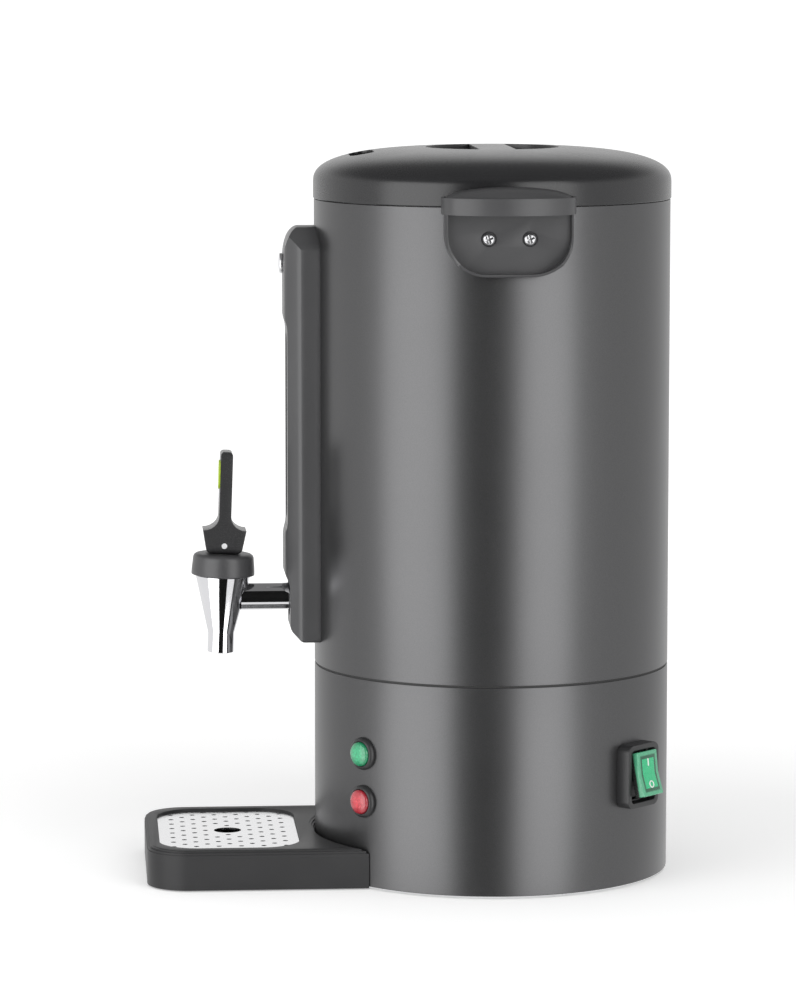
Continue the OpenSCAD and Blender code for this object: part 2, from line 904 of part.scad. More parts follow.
// The column's outer form, drawn in by an inset: plan, side outline and front outline crossed
module column_form(inset) {
    low = column_z + inset;
    high = column_top - inset;
    half = column_half - inset;
    top_half = side_top_half - inset;
    face = front_half - inset / 2;
    intersection() {
        translate([0, 0, low]) linear_extrude(high - low) polygon([
            [-half, -column_back], [-half, -(side_y - inset / 2)], [-face, -(front_y - inset)],
            [face, -(front_y - inset)], [half, -(side_y - inset / 2)], [half, -column_back]]);
        rotate([90, 0, -90]) linear_extrude(2 * half, center = true) polygon(concat([
            [column_back, low], [column_foot_y - inset, low],
            [tap_face_y - inset, column_z + foot_cham_h], [tap_face_y - inset, column_z + tap_face_h],
            [front_y - inset, column_z + block_low_h], [front_y - inset, column_z + block_high_h],
            [window_y - inset, column_z + window_low_h], [window_y - inset, column_top - window_high_drop],
            [front_y - inset, column_top - window_top_drop]],
            [for (a = [0 : shoulder_step : 90])
                [column_head_y - inset + (front_y - column_head_y) * cos(a),
                    high - shoulder_h + shoulder_h * sin(a)]],
            [[column_back, high]]));
        rotate([90, 0, 0]) linear_extrude(front_y + cut) polygon([
            [-half, low], [half, low], [half, high - side_top_h], [top_half, high],
            [-top_half, high], [-half, high - side_top_h]]);
    }
}

module column_cover() {
    slot_low = column_z + slot_low_h + slot_w / 2;
    slot_high = column_top - slot_top_drop - slot_w / 2;
    color("#333334") difference() {
        column_form(0);
        column_form(column_wall);
        cylinder(r = body_r, h = lid_top);
        for (z = [slot_low, slot_high]) front_bar(slot_w / 2, side_y, front_y + cut, z);
        translate([-slot_w / 2, -front_y - cut, slot_low]) cube([slot_w, front_y - side_y + cut, slot_high - slot_low]);
        front_bar(shank_open_d / 2, side_y, front_y + cut, shank_z);
        front_bar(button_screw_r + shank_hole_gap, side_y, front_y + cut, column_top - button_drop);
    }
}

module sight_tube() {
    low = shank_z + tube_seat_h;
    color([0.9, 0.95, 0.96, 0.4]) translate([0, -tube_y, low])
        ring(tube_r, tube_r - tube_wall, column_top - tube_top_drop - low);
}

module tube_seals() {
    color("white") for (z = [shank_z + elbow_high - seal_h, column_top - holder_low])
        translate([0, -tube_y, z]) ring(tube_r + seal_wall, tube_r, seal_h);
}

module tube_elbow() {
    front = tap_face_y - column_wall - elbow_front_gap;
    color("#2a2a2a") difference() {
        translate([-elbow_half, -front, shank_z - elbow_low])
            cube([2 * elbow_half, front - column_back, elbow_low + elbow_high]);
        cylinder(r = body_r, h = column_top, $fn = fine);
        front_bar(shank_r, column_back - cut, front + cut, shank_z);
        translate([0, -tube_y, shank_z]) cylinder(r = feed_r, h = elbow_high);
        translate([0, -tube_y, shank_z + tube_seat_h]) cylinder(r = tube_r, h = elbow_high);
        translate([0, -tube_y, shank_z + elbow_high - seal_h]) cylinder(r = tube_r + seal_wall, h = seal_h + cut);
    }
}

module tube_holder() {
    front = front_y - holder_front_drop;
    low = column_top - holder_low;
    color("#2a2a2a") {
        difference() {
            translate([-holder_half, -front, low]) cube([2 * holder_half, front - column_back, holder_low - holder_high]);
            cylinder(r = body_r, h = column_top);
            translate([0, -tube_y, low - cut]) cylinder(r = tube_r, h = holder_low - tube_top_drop + cut);
            translate([0, -tube_y, low - cut]) cylinder(r = tube_r + seal_wall, h = seal_h + cut);
            translate([0, -tube_y, low]) cylinder(r = feed_r, h = holder_low - button_drop - button_screw_r / 2);
            front_bar(button_screw_r, front_y - button_screw_len, front + cut, column_top - button_drop);
        }
        front_bar(holder_stud_r, jacket_in_r - holder_stud_len, body_r + run_gap, column_top - button_drop);
    }
}

module plug_button() {
    color("silver") translate([0, -front_y, column_top - button_drop]) rotate([90, 0, 0]) {
        rotate_extrude() polygon([[0, 0], [button_d / 2, 0], [button_d / 2, button_out - button_dome],
            [button_d / 2 - button_dome, button_out - button_dome / 4], [0, button_out]]);
        translate([0, 0, -button_screw_len]) cylinder(r = button_screw_r, h = button_screw_len + button_out / 2);
    }
}

// Tap

module tap_shank() {
    color("silver") difference() {
        front_bar(shank_r, vessel_in_r - shank_tail, tap_y - shank_end, shank_z);
        front_bar(shank_bore_r, vessel_in_r - shank_tail - cut, tap_y, shank_z);
        translate([0, -tube_y, shank_z]) cylinder(r = feed_r, h = shank_d);
    }
}

module shank_seal() {
    color("white") intersection() {
        difference() {
            front_bar(seal_r, vessel_in_r - seal_t - cut, vessel_r, shank_z);
            front_bar(shank_r, column_back - vessel_r / 2, body_r, shank_z);
        }
        cylinder(r = vessel_in_r, h = column_top, $fn = fine);
    }
}

module shank_nut() {
    color("silver") translate([0, -(vessel_in_r - seal_t - cut), shank_z]) rotate([-90, 0, 0])
        hex_nut(nut_flat_r, shank_r, nut_t);
}

// The tap's cone with its neck: one outline turned about the tap's axis, and its bore
module tap_body() {
    color("#d8d8da") difference() {
        at_tap() difference() {
            rotate_extrude() polygon([[0, -spout_drop], [spout_r, -spout_drop], [spout_r, -cone_low_h],
                [cone_top_r, cone_top_h], [neck_r, cone_top_h], [neck_r, neck_top_h], [0, neck_top_h]]);
            rotate_extrude() polygon([[0, -spout_drop - cut], [spout_bore_r, -spout_drop - cut],
                [spout_bore_r, -seat_h], [chamber_low_r, -chamber_low_h], [neck_bore_r, chamber_high_h],
                [neck_bore_r, neck_top_h + cut], [0, neck_top_h + cut]]);
        }
        front_bar(shank_r, body_r, tap_y - shank_end, shank_z);
        front_bar(shank_bore_r, body_r, tap_y, shank_z);
    }
}

module tap_cap() {
    roof = cap_top_h - cap_roof;
    slope = (cap_r - cap_top_r) * (cap_h - cap_round) / cap_h;
    color("#3a3a3b") at_tap() difference() {
        rotate_extrude() polygon(concat([[0, cap_low_h], [cap_r, cap_low_h]],
            [for (a = [0 : corner_step : 90])
                [cap_r - slope - cap_round + cap_round * cos(a), cap_top_h - cap_round + cap_round * sin(a)]],
            [[0, cap_top_h]]));
        translate([0, 0, cap_low_h - cut]) cylinder(r = neck_r + cap_thread_gap, h = roof - cap_low_h + cut);
        cylinder(r = stem_r + run_gap, h = cap_top_h + cut);
    }
}

// Closing spring: one wire wound round the stem
function coil_point(turn, r) = [r * cos(360 * turn), r * sin(360 * turn)];
module tap_spring() {
    low = cup_seal_low + cup_seal_h + spring_gap;
    high = cap_top_h - cap_roof - spring_gap;
    rise = high - low - 2 * spring_wire_r;
    rings = spring_turns * spring_per_turn;
    points = [for (i = [0 : rings], s = [0 : spring_sides - 1])
        let (turn = i / spring_per_turn, side = 360 * s / spring_sides,
            r = spring_mean_r + spring_wire_r * cos(side), flat = coil_point(turn, r))
        [flat[0], flat[1], low + spring_wire_r + rise * i / rings + spring_wire_r * sin(side)]];
    walls = [for (i = [0 : rings - 1], s = [0 : spring_sides - 1])
        let (a = i * spring_sides + s, b = i * spring_sides + (s + 1) % spring_sides)
        [a, a + spring_sides, b + spring_sides, b]];
    ends = [[for (s = [0 : spring_sides - 1]) s],
        [for (s = [spring_sides - 1 : -1 : 0]) rings * spring_sides + s]];
    color("silver") at_tap() polyhedron(points, concat(walls, ends));
}

module tap_stem() {
    color("silver") at_tap() difference() {
        union() {
            translate([0, 0, -stem_low_h]) cylinder(r = stem_r, h = stem_low_h + pin_h - eye_r / 2);
            translate([-eye_w / 2, 0, pin_h]) rotate([0, 90, 0]) cylinder(r = eye_r, h = eye_w);
        }
        translate([-eye_w, 0, pin_h]) rotate([0, 90, 0]) cylinder(r = pin_r + run_gap, h = 2 * eye_w);
    }
}

module seat_cup() {
    color("white") at_tap() difference() {
        translate([0, 0, cup_seal_low]) cylinder(r = cup_seal_r, h = cup_seal_h);
        translate([0, 0, -stem_low_h]) cylinder(r = stem_r, h = 2 * cup_seal_h);
    }
}

// Lever outline seen from the side, about its pin
lever_outline = concat(
    arc_points(-lever_low_half + lever_low_round, -lever_low + lever_low_round, lever_low_round, 270, 180),
    [for (a = [0 : lever_arc_step : 90])
        [-lever_wing_half + (lever_wing_half - lever_t / 2) * sin(a),
            lever_sweep_h - (lever_sweep_h - lever_wing_h) * cos(a)]],
    arc_points(-lever_t / 2 + lever_top_round, lever_h - lever_top_round, lever_top_round, 180, 90),
    arc_points(lever_t / 2 - lever_top_round, lever_h - lever_top_round, lever_top_round, 90, 0),
    [for (a = [90 : -lever_arc_step : 0])
        [lever_wing_half - (lever_wing_half - lever_t / 2) * sin(a),
            lever_sweep_h - (lever_sweep_h - lever_wing_h) * cos(a)]],
    arc_points(lever_low_half - lever_low_round, -lever_low + lever_low_round, lever_low_round, 360, 270));

module tap_lever() {
    all_h = lever_h + lever_low;
    color("#2c2c2d") at_tap() translate([0, 0, pin_h]) difference() {
        intersection() {
            rotate([90, 0, 90]) linear_extrude(lever_w, center = true) polygon(lever_outline);
            translate([0, 0, (lever_h - lever_low) / 2]) rotate([90, 0, 0])
                linear_extrude(2 * lever_wing_half + cut, center = true)
                    round_plate(lever_w, all_h, lever_face_round);
        }
        translate([-slot_half, -slot_reach, -lever_low - cut])
            cube([2 * slot_half, 2 * slot_reach, lever_low + slot_top + cut]);
        rotate([0, 90, 0]) cylinder(r = pin_r, h = lever_w + cut, center = true);
        translate([0, -lever_t / 2 - cut, insert_h]) rotate([-90, 0, 0])
            cylinder(r = insert_d / 2, h = cut + insert_t - insert_out);
    }
}

module lever_insert() {
    color("#c6dc2c") at_tap() translate([0, -lever_t / 2 - insert_out, pin_h + insert_h]) rotate([-90, 0, 0])
        cylinder(r = insert_d / 2, h = insert_t);
}

module lever_pin() {
    color("silver") at_tap() translate([0, 0, pin_h]) rotate([0, 90, 0])
        cylinder(r = pin_r, h = lever_w + 2 * pin_proud, center = true);
}

// Lamps

module lamp_bezels() {
    color("#1a1a1a") difference() {
        for (i = [0 : lamp_count - 1]) at_side(lamp_angle, lamp_low + i * lamp_step)
            translate([0, 0, body_r - lamp_sink]) ring(lamp_d / 2, lens_r, lamp_sink + lamp_out);
        translate([0, 0, foot_lift]) cylinder(r = body_r, h = base_h, $fn = fine);
    }
}

// Domed lens on one lamp, counted upwards
module lamp_lens(i) {
    at_side(lamp_angle, lamp_low + i * lamp_step) translate([0, 0, body_r + lens_low])
        rotate_extrude() polygon([[0, 0], [lens_r, 0], [lens_r, lens_out - lens_low - lens_dome],
            [lens_r - lens_dome, lens_out - lens_low - lens_dome / 4], [0, lens_out - lens_low]]);
}

module green_lens() {
    color([0.1, 0.65, 0.35, 0.9]) lamp_lens(1);
}

module red_lens() {
    color([0.8, 0.1, 0.12, 0.9]) lamp_lens(0);
}

module lamp_bodies() {
    color("#e8e8e2") for (i = [0 : lamp_count - 1]) at_side(lamp_angle, lamp_low + i * lamp_step)
        translate([0, 0, body_r + lens_low - barrel_len]) cylinder(r = lens_r - fit_gap, h = barrel_len);
    color("#e8e8e2") for (i = [0 : lamp_count - 1]) at_side(lamp_angle, lamp_low + i * lamp_step)
        translate([0, 0, body_r - lamp_sink - barrel_len]) cylinder(r = barrel_r, h = barrel_len);
}

module lamp_nuts() {
    seat = sqrt(base_in_r * base_in_r - lamp_nut_r * lamp_nut_r) - fit_gap;
    color("#1a1a1a") for (i = [0 : lamp_count - 1]) at_side(lamp_angle, lamp_low + i * lamp_step)
        translate([0, 0, seat - lamp_nut_t]) hex_nut(lamp_nut_r, barrel_r, lamp_nut_t);
}

// Switch

module switch_bezel() {
    color("#161616") difference() {
        at_side(switch_angle, switch_z) translate([0, 0, body_r]) difference() {
            translate([0, 0, -switch_step_t]) linear_extrude(switch_t + switch_step_t)
                round_plate(switch_w, switch_h, switch_round);
            translate([0, 0, switch_step_t]) linear_extrude(switch_t)
                round_plate(switch_open_w, switch_open_h, switch_round / 2);
            translate([0, 0, -switch_t]) linear_extrude(2 * switch_t)
                round_plate(switch_step_w, switch_step_h, switch_round / 4);
        }
        cylinder(r = body_r, h = base_top, $fn = fine);
    }
}

module switch_body() {
    color("#20201f") at_side(switch_angle, switch_z) difference() {
        union() {
            translate([0, 0, body_r + switch_floor - switch_body_len])
                linear_extrude(switch_body_len) square([switch_body_w, switch_body_h], center = true);
            for (side = [-1, 1])
                translate([side * (rocker_w / 2 + slide_gap + ear_t / 2), 0, body_r])
                    linear_extrude(rocker_axis + ear_top) square([ear_t, 2 * ear_half], center = true);
        }
        translate([0, 0, body_r + rocker_axis]) rotate([0, 90, 0])
            cylinder(r = hub_pin_r + run_gap, h = switch_w, center = true);
    }
}

// Rocker outline seen from the side: a shallow V about the pivot
module rocker_block(half, low, high, mid, w) {
    rotate([90, 0, 90]) linear_extrude(w, center = true)
        polygon([[-half, low], [half, low], [half, high], [0, mid], [-half, high]]);
}

module at_rocker() {
    at_side(switch_angle, switch_z) translate([0, 0, body_r + rocker_axis]) rotate([-rocker_deg, 0, 0]) children();
}

module switch_rocker() {
    color("#1f8f4c") at_rocker() {
        rocker_block(rocker_half, rocker_low, rocker_high, rocker_mid, rocker_w);
        rotate([0, 90, 0]) cylinder(r = hub_r, h = rocker_w, center = true);
        rotate([0, 90, 0]) cylinder(r = hub_pin_r, h = rocker_w + 2 * (slide_gap + ear_t), center = true);
    }
}

module switch_boot() {
    color([0.2, 0.6, 0.35, 0.5]) at_rocker() difference() {
        rocker_block(boot_half, boot_low, boot_high, boot_mid, boot_w);
        rocker_block(boot_half - boot_wall, boot_low - cut, boot_high - boot_wall, boot_mid - boot_wall,
            boot_w - 2 * boot_wall);
    }
}

// Cord gland

module cord_gland() {
    color("#1a1a1a") difference() {
        union() {
            difference() {
                at_side(gland_angle, gland_z) translate([0, 0, body_r - gland_flange_t / 2])
                    cylinder(r = gland_flange_r, h = 1.5 * gland_flange_t);
                cylinder(r = body_r, h = base_top, $fn = fine);
            }
            at_side(gland_angle, gland_z) translate([0, 0, body_r - gland_len])
                cylinder(r = gland_barrel_r, h = gland_len + gland_flange_t / 2);
        }
        at_side(gland_angle, gland_z) translate([0, 0, body_r - gland_len - cut])
            cylinder(r = gland_bore / 2, h = 2 * gland_len);
    }
}

module gland_nut() {
    seat = sqrt(base_in_r * base_in_r - gland_nut_r * gland_nut_r) - fit_gap;
    color("#1a1a1a") at_side(gland_angle, gland_z) translate([0, 0, seat - gland_nut_t])
        hex_nut(gland_nut_r, gland_barrel_r, gland_nut_t);
}

// Heating parts

module element_plate() {
    color("silver") difference() {
        translate([0, 0, element_z]) cylinder(r = element_r, h = element_t);
        for (i = [0 : stud_count - 1])
            rotate([0, 0, i * 360 / stud_count])
                translate([0, -stud_ring, element_z - cut]) cylinder(r = stud_r, h = element_t + 2 * cut);
        translate([0, 0, heater_z]) rotate_extrude() translate([ring_r, ring_sink]) circle(r = ring_tube_r);
    }
}

module ring_heater() {
    color("#8a8c90") {
        translate([0, 0, heater_z]) rotate_extrude() translate([ring_r, ring_sink]) circle(r = ring_tube_r);
        for (y = [-1, 1])
            translate([-ring_r, y * heater_pin_gap / 2, heater_z + ring_sink - heater_pin_len])
                cylinder(r = heater_pin_r, h = heater_pin_len);
    }
}

module plate_nuts() {
    color("silver") for (i = [0 : stud_count - 1])
        rotate([0, 0, i * 360 / stud_count])
            translate([0, -stud_ring, element_z - plate_nut_t]) hex_nut(plate_nut_r, stud_r, plate_nut_t);
}

module thermostat() {
    color("#d8cfc0") translate([0, 0, element_z - stat_h]) cylinder(r = stat_r, h = stat_h);
}

module safety_cutout() {
    color("#d8cfc0") translate([-cutout_w / 2, cutout_y, element_z - cutout_h])
        cube([cutout_w, cutout_d, cutout_h]);
}

module terminal_block() {
    color("#ece7d8") difference() {
        translate([block_x - block_w / 2, block_y - block_d / 2, plate_top]) cube([block_w, block_d, block_h]);
        for (i = [0 : block_ways - 1])
            translate([block_x - block_w / 2 + (i + 1) * block_w / (block_ways + 1), block_y, plate_top + block_h / 2])
                cylinder(r = block_screw_r, h = block_h);
    }
}

// One wire through a list of points
module wire(points) {
    for (i = [0 : len(points) - 2])
        let (run = points[i + 1] - points[i], way = run / norm(run),
            before = i > 0 ? wire_r / 2 : 0, past = i < len(points) - 2 ? wire_r : 0)
            rod(points[i] - before * way, points[i + 1] + past * way, wire_r);
}

// Point inside the housing, behind something on its side
function side_point(angle, r, z) = [r * sin(angle), -r * cos(angle), z];

module wiring() {
    top = plate_top + block_h;
    left = block_x - block_w / 4;
    right = block_x + block_w / 4;
    pin_low = heater_z + ring_sink - heater_pin_len;
    lamp_back = body_r - lamp_sink - barrel_len;
    switch_back = body_r + switch_floor - switch_body_len;
    color("#9a3a2a") {
        wire([[left, block_y, top], [left, block_y, top + wire_rise],
            [-ring_r, -heater_pin_gap / 2, pin_low - wire_rise], [-ring_r, -heater_pin_gap / 2, pin_low]]);
        wire([[right, block_y, top], [right, block_y, top + wire_rise],
            side_point(switch_angle, switch_back - wire_rise, switch_z), side_point(switch_angle, switch_back, switch_z)]);
        wire([[block_x, block_y, top], [block_x, block_y, top + wire_rise / 2],
            side_point(lamp_angle, lamp_back - wire_rise, lamp_low), side_point(lamp_angle, lamp_back, lamp_low)]);
    }
}

// Percolator

module pump_foot() {
    low = vessel_floor + bell_gap;
    color("silver") difference() {
        translate([0, 0, low]) rotate_extrude() polygon([
            [foot_bell_r, 0], [foot_bell_r, foot_bell_wall], [bell_hub_r, foot_bell_h], [pump_r, foot_bell_h],
            [pump_r, foot_bell_h - pump_wall], [bell_hub_r - pump_wall, foot_bell_h - pump_wall],
            [foot_bell_r - foot_bell_wall - pump_wall, 0]]);
        for (i = [0 : bell_holes - 1])
            rotate([0, 0, i * 360 / bell_holes])
                translate([0, -(foot_bell_r + bell_hub_r) / 2, low]) cylinder(r = bell_hole_r, h = foot_bell_h);
    }
}

module pump_tube() {
    color("silver") {
        translate([0, 0, pump_low]) ring(pump_r, pump_r - pump_wall, pump_top - pump_low);
        translate([0, 0, basket_z - rest_t]) ring(rest_r, pump_r - pump_wall / 2, rest_t);
    }
}

module coffee_basket() {
    sleeve_in = pump_r + sleeve_gap;
    color("#c4c6c8") difference() {
        union() {
            translate([0, 0, basket_z + sleeve_gap]) difference() {
                cup_form(basket_r, basket_h - sleeve_gap, vessel_corner);
                translate([0, 0, basket_wall])
                    cup_form(basket_r - basket_wall, basket_h, vessel_corner - basket_wall);
            }
            translate([0, 0, basket_top - basket_rim]) ring(basket_r + basket_rim, basket_r - basket_wall, basket_rim);
            translate([0, 0, basket_z + sleeve_gap]) cylinder(r = sleeve_in + sleeve_wall, h = sleeve_h);
        }
        translate([0, 0, basket_z - cut]) cylinder(r = sleeve_in, h = basket_h);
        for (n = [0 : basket_rings - 1])
            let (r = basket_hole_in_r + n * basket_ring_step, count = floor(2 * PI * r / basket_hole_pitch))
                for (i = [0 : count - 1])
                    rotate([0, 0, i * 360 / count]) translate([0, -r, basket_z - cut])
                        cylinder(r = basket_hole_r, h = vessel_corner);
    }
}

module basket_lid() {
    low = basket_top + cover_gap;
    color("#c4c6c8") difference() {
        union() {
            translate([0, 0, low]) cylinder(r = basket_r + basket_rim, h = cover_t);
            translate([0, 0, low - cover_lip_h])
                ring(basket_r - basket_wall - cover_lip_gap, basket_r - 2 * basket_wall - cover_lip_gap,
                    cover_lip_h + cover_t / 2);
        }
        translate([0, 0, low - cut]) cylinder(r = pump_r + sleeve_gap, h = cover_t + 2 * cut);
        for (i = [0 : cover_holes - 1])
            rotate([0, 0, i * 360 / cover_holes]) translate([0, -cover_ring, low - cut])
                cylinder(r = basket_hole_r, h = cover_t + 2 * cut);
    }
}

// Lid

module lid_gasket() {
    color("white") translate([0, 0, neck_flange_top + gasket_gap])
        ring(gasket_in_r + gasket_w, gasket_in_r, liner_z - gasket_top_gap - neck_flange_top - gasket_gap);
}

module lid_screw_places() {
    for (i = [0 : lug_count - 1])
        rotate([0, 0, i * 360 / lug_count]) translate([0, lid_boss_ring, 0]) children();
}

module lid_liner() {
    color("#c8cacc") difference() {
        union() {
            translate([0, 0, liner_z]) cylinder(r = liner_r, h = liner_t);
            translate([0, 0, lug_z]) ring(skirt_r, skirt_r - skirt_wall, liner_z - lug_z + liner_t / 2);
            for (i = [0 : lug_count - 1])
                translate([0, 0, lug_z]) difference() {
                    wedge(lug_first + i * 360 / lug_count, lug_deg, lug_r, lug_t);
                    translate([0, 0, -cut]) cylinder(r = skirt_r - skirt_wall / 2, h = lug_t + 2 * cut);
                }
        }
        lid_screw_places() translate([0, 0, liner_z - cut]) cylinder(r = lid_screw_r, h = liner_t + 2 * cut);
        for (x = [-1, 0, 1])
            translate([x * steam_step, -vent_y, liner_z - cut]) cylinder(r = steam_hole_r, h = liner_t + 2 * cut);
    }
}

// The lid's crown: a flattened dome on an upright side, drawn in by an inset
module crown(inset) {
    r = lid_r - inset;
    rise = crown_h - inset;
    rotate_extrude() polygon(concat([[0, lid_z], [r, lid_z]],
        [for (a = [0 : crown_step : 90])
            [r * pow(cos(a), 2 / crown_fall), crown_z + rise * pow(sin(a), 2 / crown_round)]],
        [[0, crown_z + rise]]));
}

// Steam slot from above
module vent_slot() {
    r = vent_d / 2;
    translate([0, -vent_y]) {
        square([vent_w - vent_d, vent_d], center = true);
        for (x = [-1, 1]) translate([x * (vent_w / 2 - r), 0]) circle(r = r);
    }
}

module lid_shell() {
    inner_half = grip_bar_w / 2 - lid_wall;
    color("#3a3a3b") difference() {
        intersection() {
            crown(0);
            union() {
                difference() {
                    translate([0, 0, lid_z]) cylinder(r = lid_r + cut, h = lid_top - lid_z);
                    crown(lid_wall);
                    translate([0, 0, lid_z - cut]) cylinder(r = lid_in_r, h = cut + lid_side_h / 2);
                }
                translate([0, 0, grip_floor - lid_wall]) cylinder(r = grip_r + lid_wall, h = grip_depth + lid_wall);
                lid_screw_places() translate([0, 0, liner_z + liner_t]) cylinder(r = lid_boss_r, h = lid_top - lid_z);
            }
        }
        difference() {
            translate([0, 0, grip_floor]) cylinder(r = grip_r, h = grip_depth + cut);
            translate([-grip_r - cut, -grip_bar_w / 2, grip_floor - cut])
                cube([grip_d + 2 * cut, grip_bar_w, grip_depth - grip_bar_drop + cut]);
        }
        translate([-grip_r, -inner_half, grip_floor - lid_wall - cut])
            cube([grip_d, 2 * inner_half, grip_depth - grip_bar_drop + cut]);
        translate([0, 0, crown_z]) linear_extrude(crown_h + cut) vent_slot();
        lid_screw_places() translate([0, 0, liner_z]) cylinder(r = lid_screw_r, h = lid_screw_len);
    }
}

module lid_screws() {
    color("silver") lid_screw_places() {
        translate([0, 0, liner_z - lid_screw_head_h]) cylinder(r = lid_screw_head_r, h = lid_screw_head_h);
        translate([0, 0, liner_z - lid_screw_head_h / 2]) cylinder(r = lid_screw_r, h = lid_screw_len);
    }
}

// Drip tray

// The tray from above, drawn in by an inset: two round corners in front, hollowed round the housing
module tray_outline(inset) {
    r = tray_corner - inset;
    half = tray_w / 2 - inset;
    deep = tray_front - tray_back;
    difference() {
        union() {
            translate([-half, -tray_front + tray_corner]) square([2 * half, deep - tray_corner]);
            translate([-half + r, -tray_front + inset]) square([2 * (half - r), deep]);
            for (x = [-1, 1]) translate([x * (half - r), -tray_front + tray_corner]) circle(r = r);
        }
        circle(r = body_r + tray_gap + inset);
    }
}

module drip_tray() {
    color("#39393a") difference() {
        union() {
            translate([0, 0, tray_lift]) linear_extrude(tray_h - tray_round - tray_lift) tray_outline(0);
            for (a = [0 : tray_round_step : 90 - tray_round_step])
                translate([0, 0, tray_lift]) linear_extrude(tray_h - tray_lift - tray_round
                    + tray_round * sin(a + tray_round_step)) tray_outline(tray_round * (1 - cos(a + tray_round_step / 2)));
        }
        translate([0, -grille_mid, grille_z - grille_rest_gap]) linear_extrude(tray_h)
            round_plate(grille_w + 2 * grille_gap, grille_d + 2 * grille_gap, grille_corner + grille_gap);
        translate([0, -grille_mid, bowl_floor]) linear_extrude(tray_h)
            round_plate(grille_w - 2 * bowl_step, grille_d - 2 * bowl_step, grille_corner - bowl_step);
        tray_foot_places() translate([0, 0, tray_lift - cut]) cylinder(r = tray_foot_r, h = cut + tray_foot_h - tray_lift);
    }
}

module tray_foot_places() {
    for (x = [-1, 1], y = [tray_foot_front, tray_foot_back])
        translate([x * tray_foot_x, -tray_front + y, 0]) children();
}

module tray_feet() {
    color("#202020") tray_foot_places() cylinder(r = tray_foot_r, h = tray_foot_h);
}

// Small drain holes in staggered rows, inside the grille's edge and clear of its middle hole
module tray_grille() {
    columns = floor((grille_d / 2 - drain_edge) / drain_step_y);
    rows = floor((grille_w / 2 - drain_edge) / (drain_step_x / 2));
    keep_x = grille_w / 2 - grille_corner;
    keep_y = grille_d / 2 - grille_corner;
    color("#d4d5d6") translate([0, -grille_mid, grille_z]) difference() {
        linear_extrude(grille_t) round_plate(grille_w, grille_d, grille_corner);
        translate([0, 0, -cut]) cylinder(d = grille_hole, h = grille_t + 2 * cut);
        for (c = [-columns : columns], n = [-rows : rows])
            let (x = n * drain_step_x / 2, y = c * drain_step_y,
                corner = norm([max(abs(x) - keep_x, 0), max(abs(y) - keep_y, 0)]))
                if ((n + c) % 2 == 0 && corner < grille_corner - drain_edge + drain_d / 2
                        && norm([x, y]) > grille_hole / 2 + drain_mid_gap)
                    translate([x, y, -cut]) cylinder(d = drain_d, h = grille_t + 2 * cut);
    }
}

base_housing();
base_plate();
feet();
base_screws();
seam_ring();
outer_jacket();
inner_vessel();
neck_ring();
handle_right();
handle_left();
handle_screws();
handle_backings();
column_cover();
sight_tube();
tube_seals();
tube_elbow();
tube_holder();
plug_button();
tap_shank();
shank_seal();
shank_nut();
tap_body();
tap_cap();
tap_spring();
tap_stem();
seat_cup();
tap_lever();
lever_insert();
lever_pin();
lamp_bezels();
green_lens();
red_lens();
lamp_bodies();
lamp_nuts();
switch_bezel();
switch_body();
switch_rocker();
switch_boot();
cord_gland();
gland_nut();
element_plate();
ring_heater();
plate_nuts();
thermostat();
safety_cutout();
terminal_block();
wiring();
pump_foot();
pump_tube();
coffee_basket();
basket_lid();
lid_gasket();
lid_liner();
lid_shell();
lid_screws();
drip_tray();
tray_feet();
tray_grille();
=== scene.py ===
"""Coffee urn: the looks of each piece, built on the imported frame. Metres, +Z up, the front faces -Y."""

import math

import bmesh
import bpy
from mathutils import Euler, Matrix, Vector


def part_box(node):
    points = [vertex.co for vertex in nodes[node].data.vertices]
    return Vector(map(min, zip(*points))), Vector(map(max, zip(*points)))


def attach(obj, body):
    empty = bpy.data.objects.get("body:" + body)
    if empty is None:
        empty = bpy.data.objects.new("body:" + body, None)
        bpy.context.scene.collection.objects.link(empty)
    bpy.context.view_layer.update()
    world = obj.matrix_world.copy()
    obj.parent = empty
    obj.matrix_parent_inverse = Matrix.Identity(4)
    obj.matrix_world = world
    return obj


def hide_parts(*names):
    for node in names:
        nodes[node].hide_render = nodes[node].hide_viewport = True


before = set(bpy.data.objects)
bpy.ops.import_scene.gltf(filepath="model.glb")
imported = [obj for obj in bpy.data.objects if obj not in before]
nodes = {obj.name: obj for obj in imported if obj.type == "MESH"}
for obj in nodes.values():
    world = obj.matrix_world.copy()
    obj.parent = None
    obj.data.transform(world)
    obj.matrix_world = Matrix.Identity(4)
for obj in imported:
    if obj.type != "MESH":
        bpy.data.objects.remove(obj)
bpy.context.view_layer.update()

# ---- Studio ----
# A pale floor under a white sky, one broad soft lamp on each side of the camera and one overhead. A
# dark curtain, which only reflections see, fills the gap between the side lamps and leaves the dark
# band down the middle of the body and of the chrome. Reflections don't see the floor.

scene = bpy.context.scene
scene.view_settings.view_transform = "Standard"


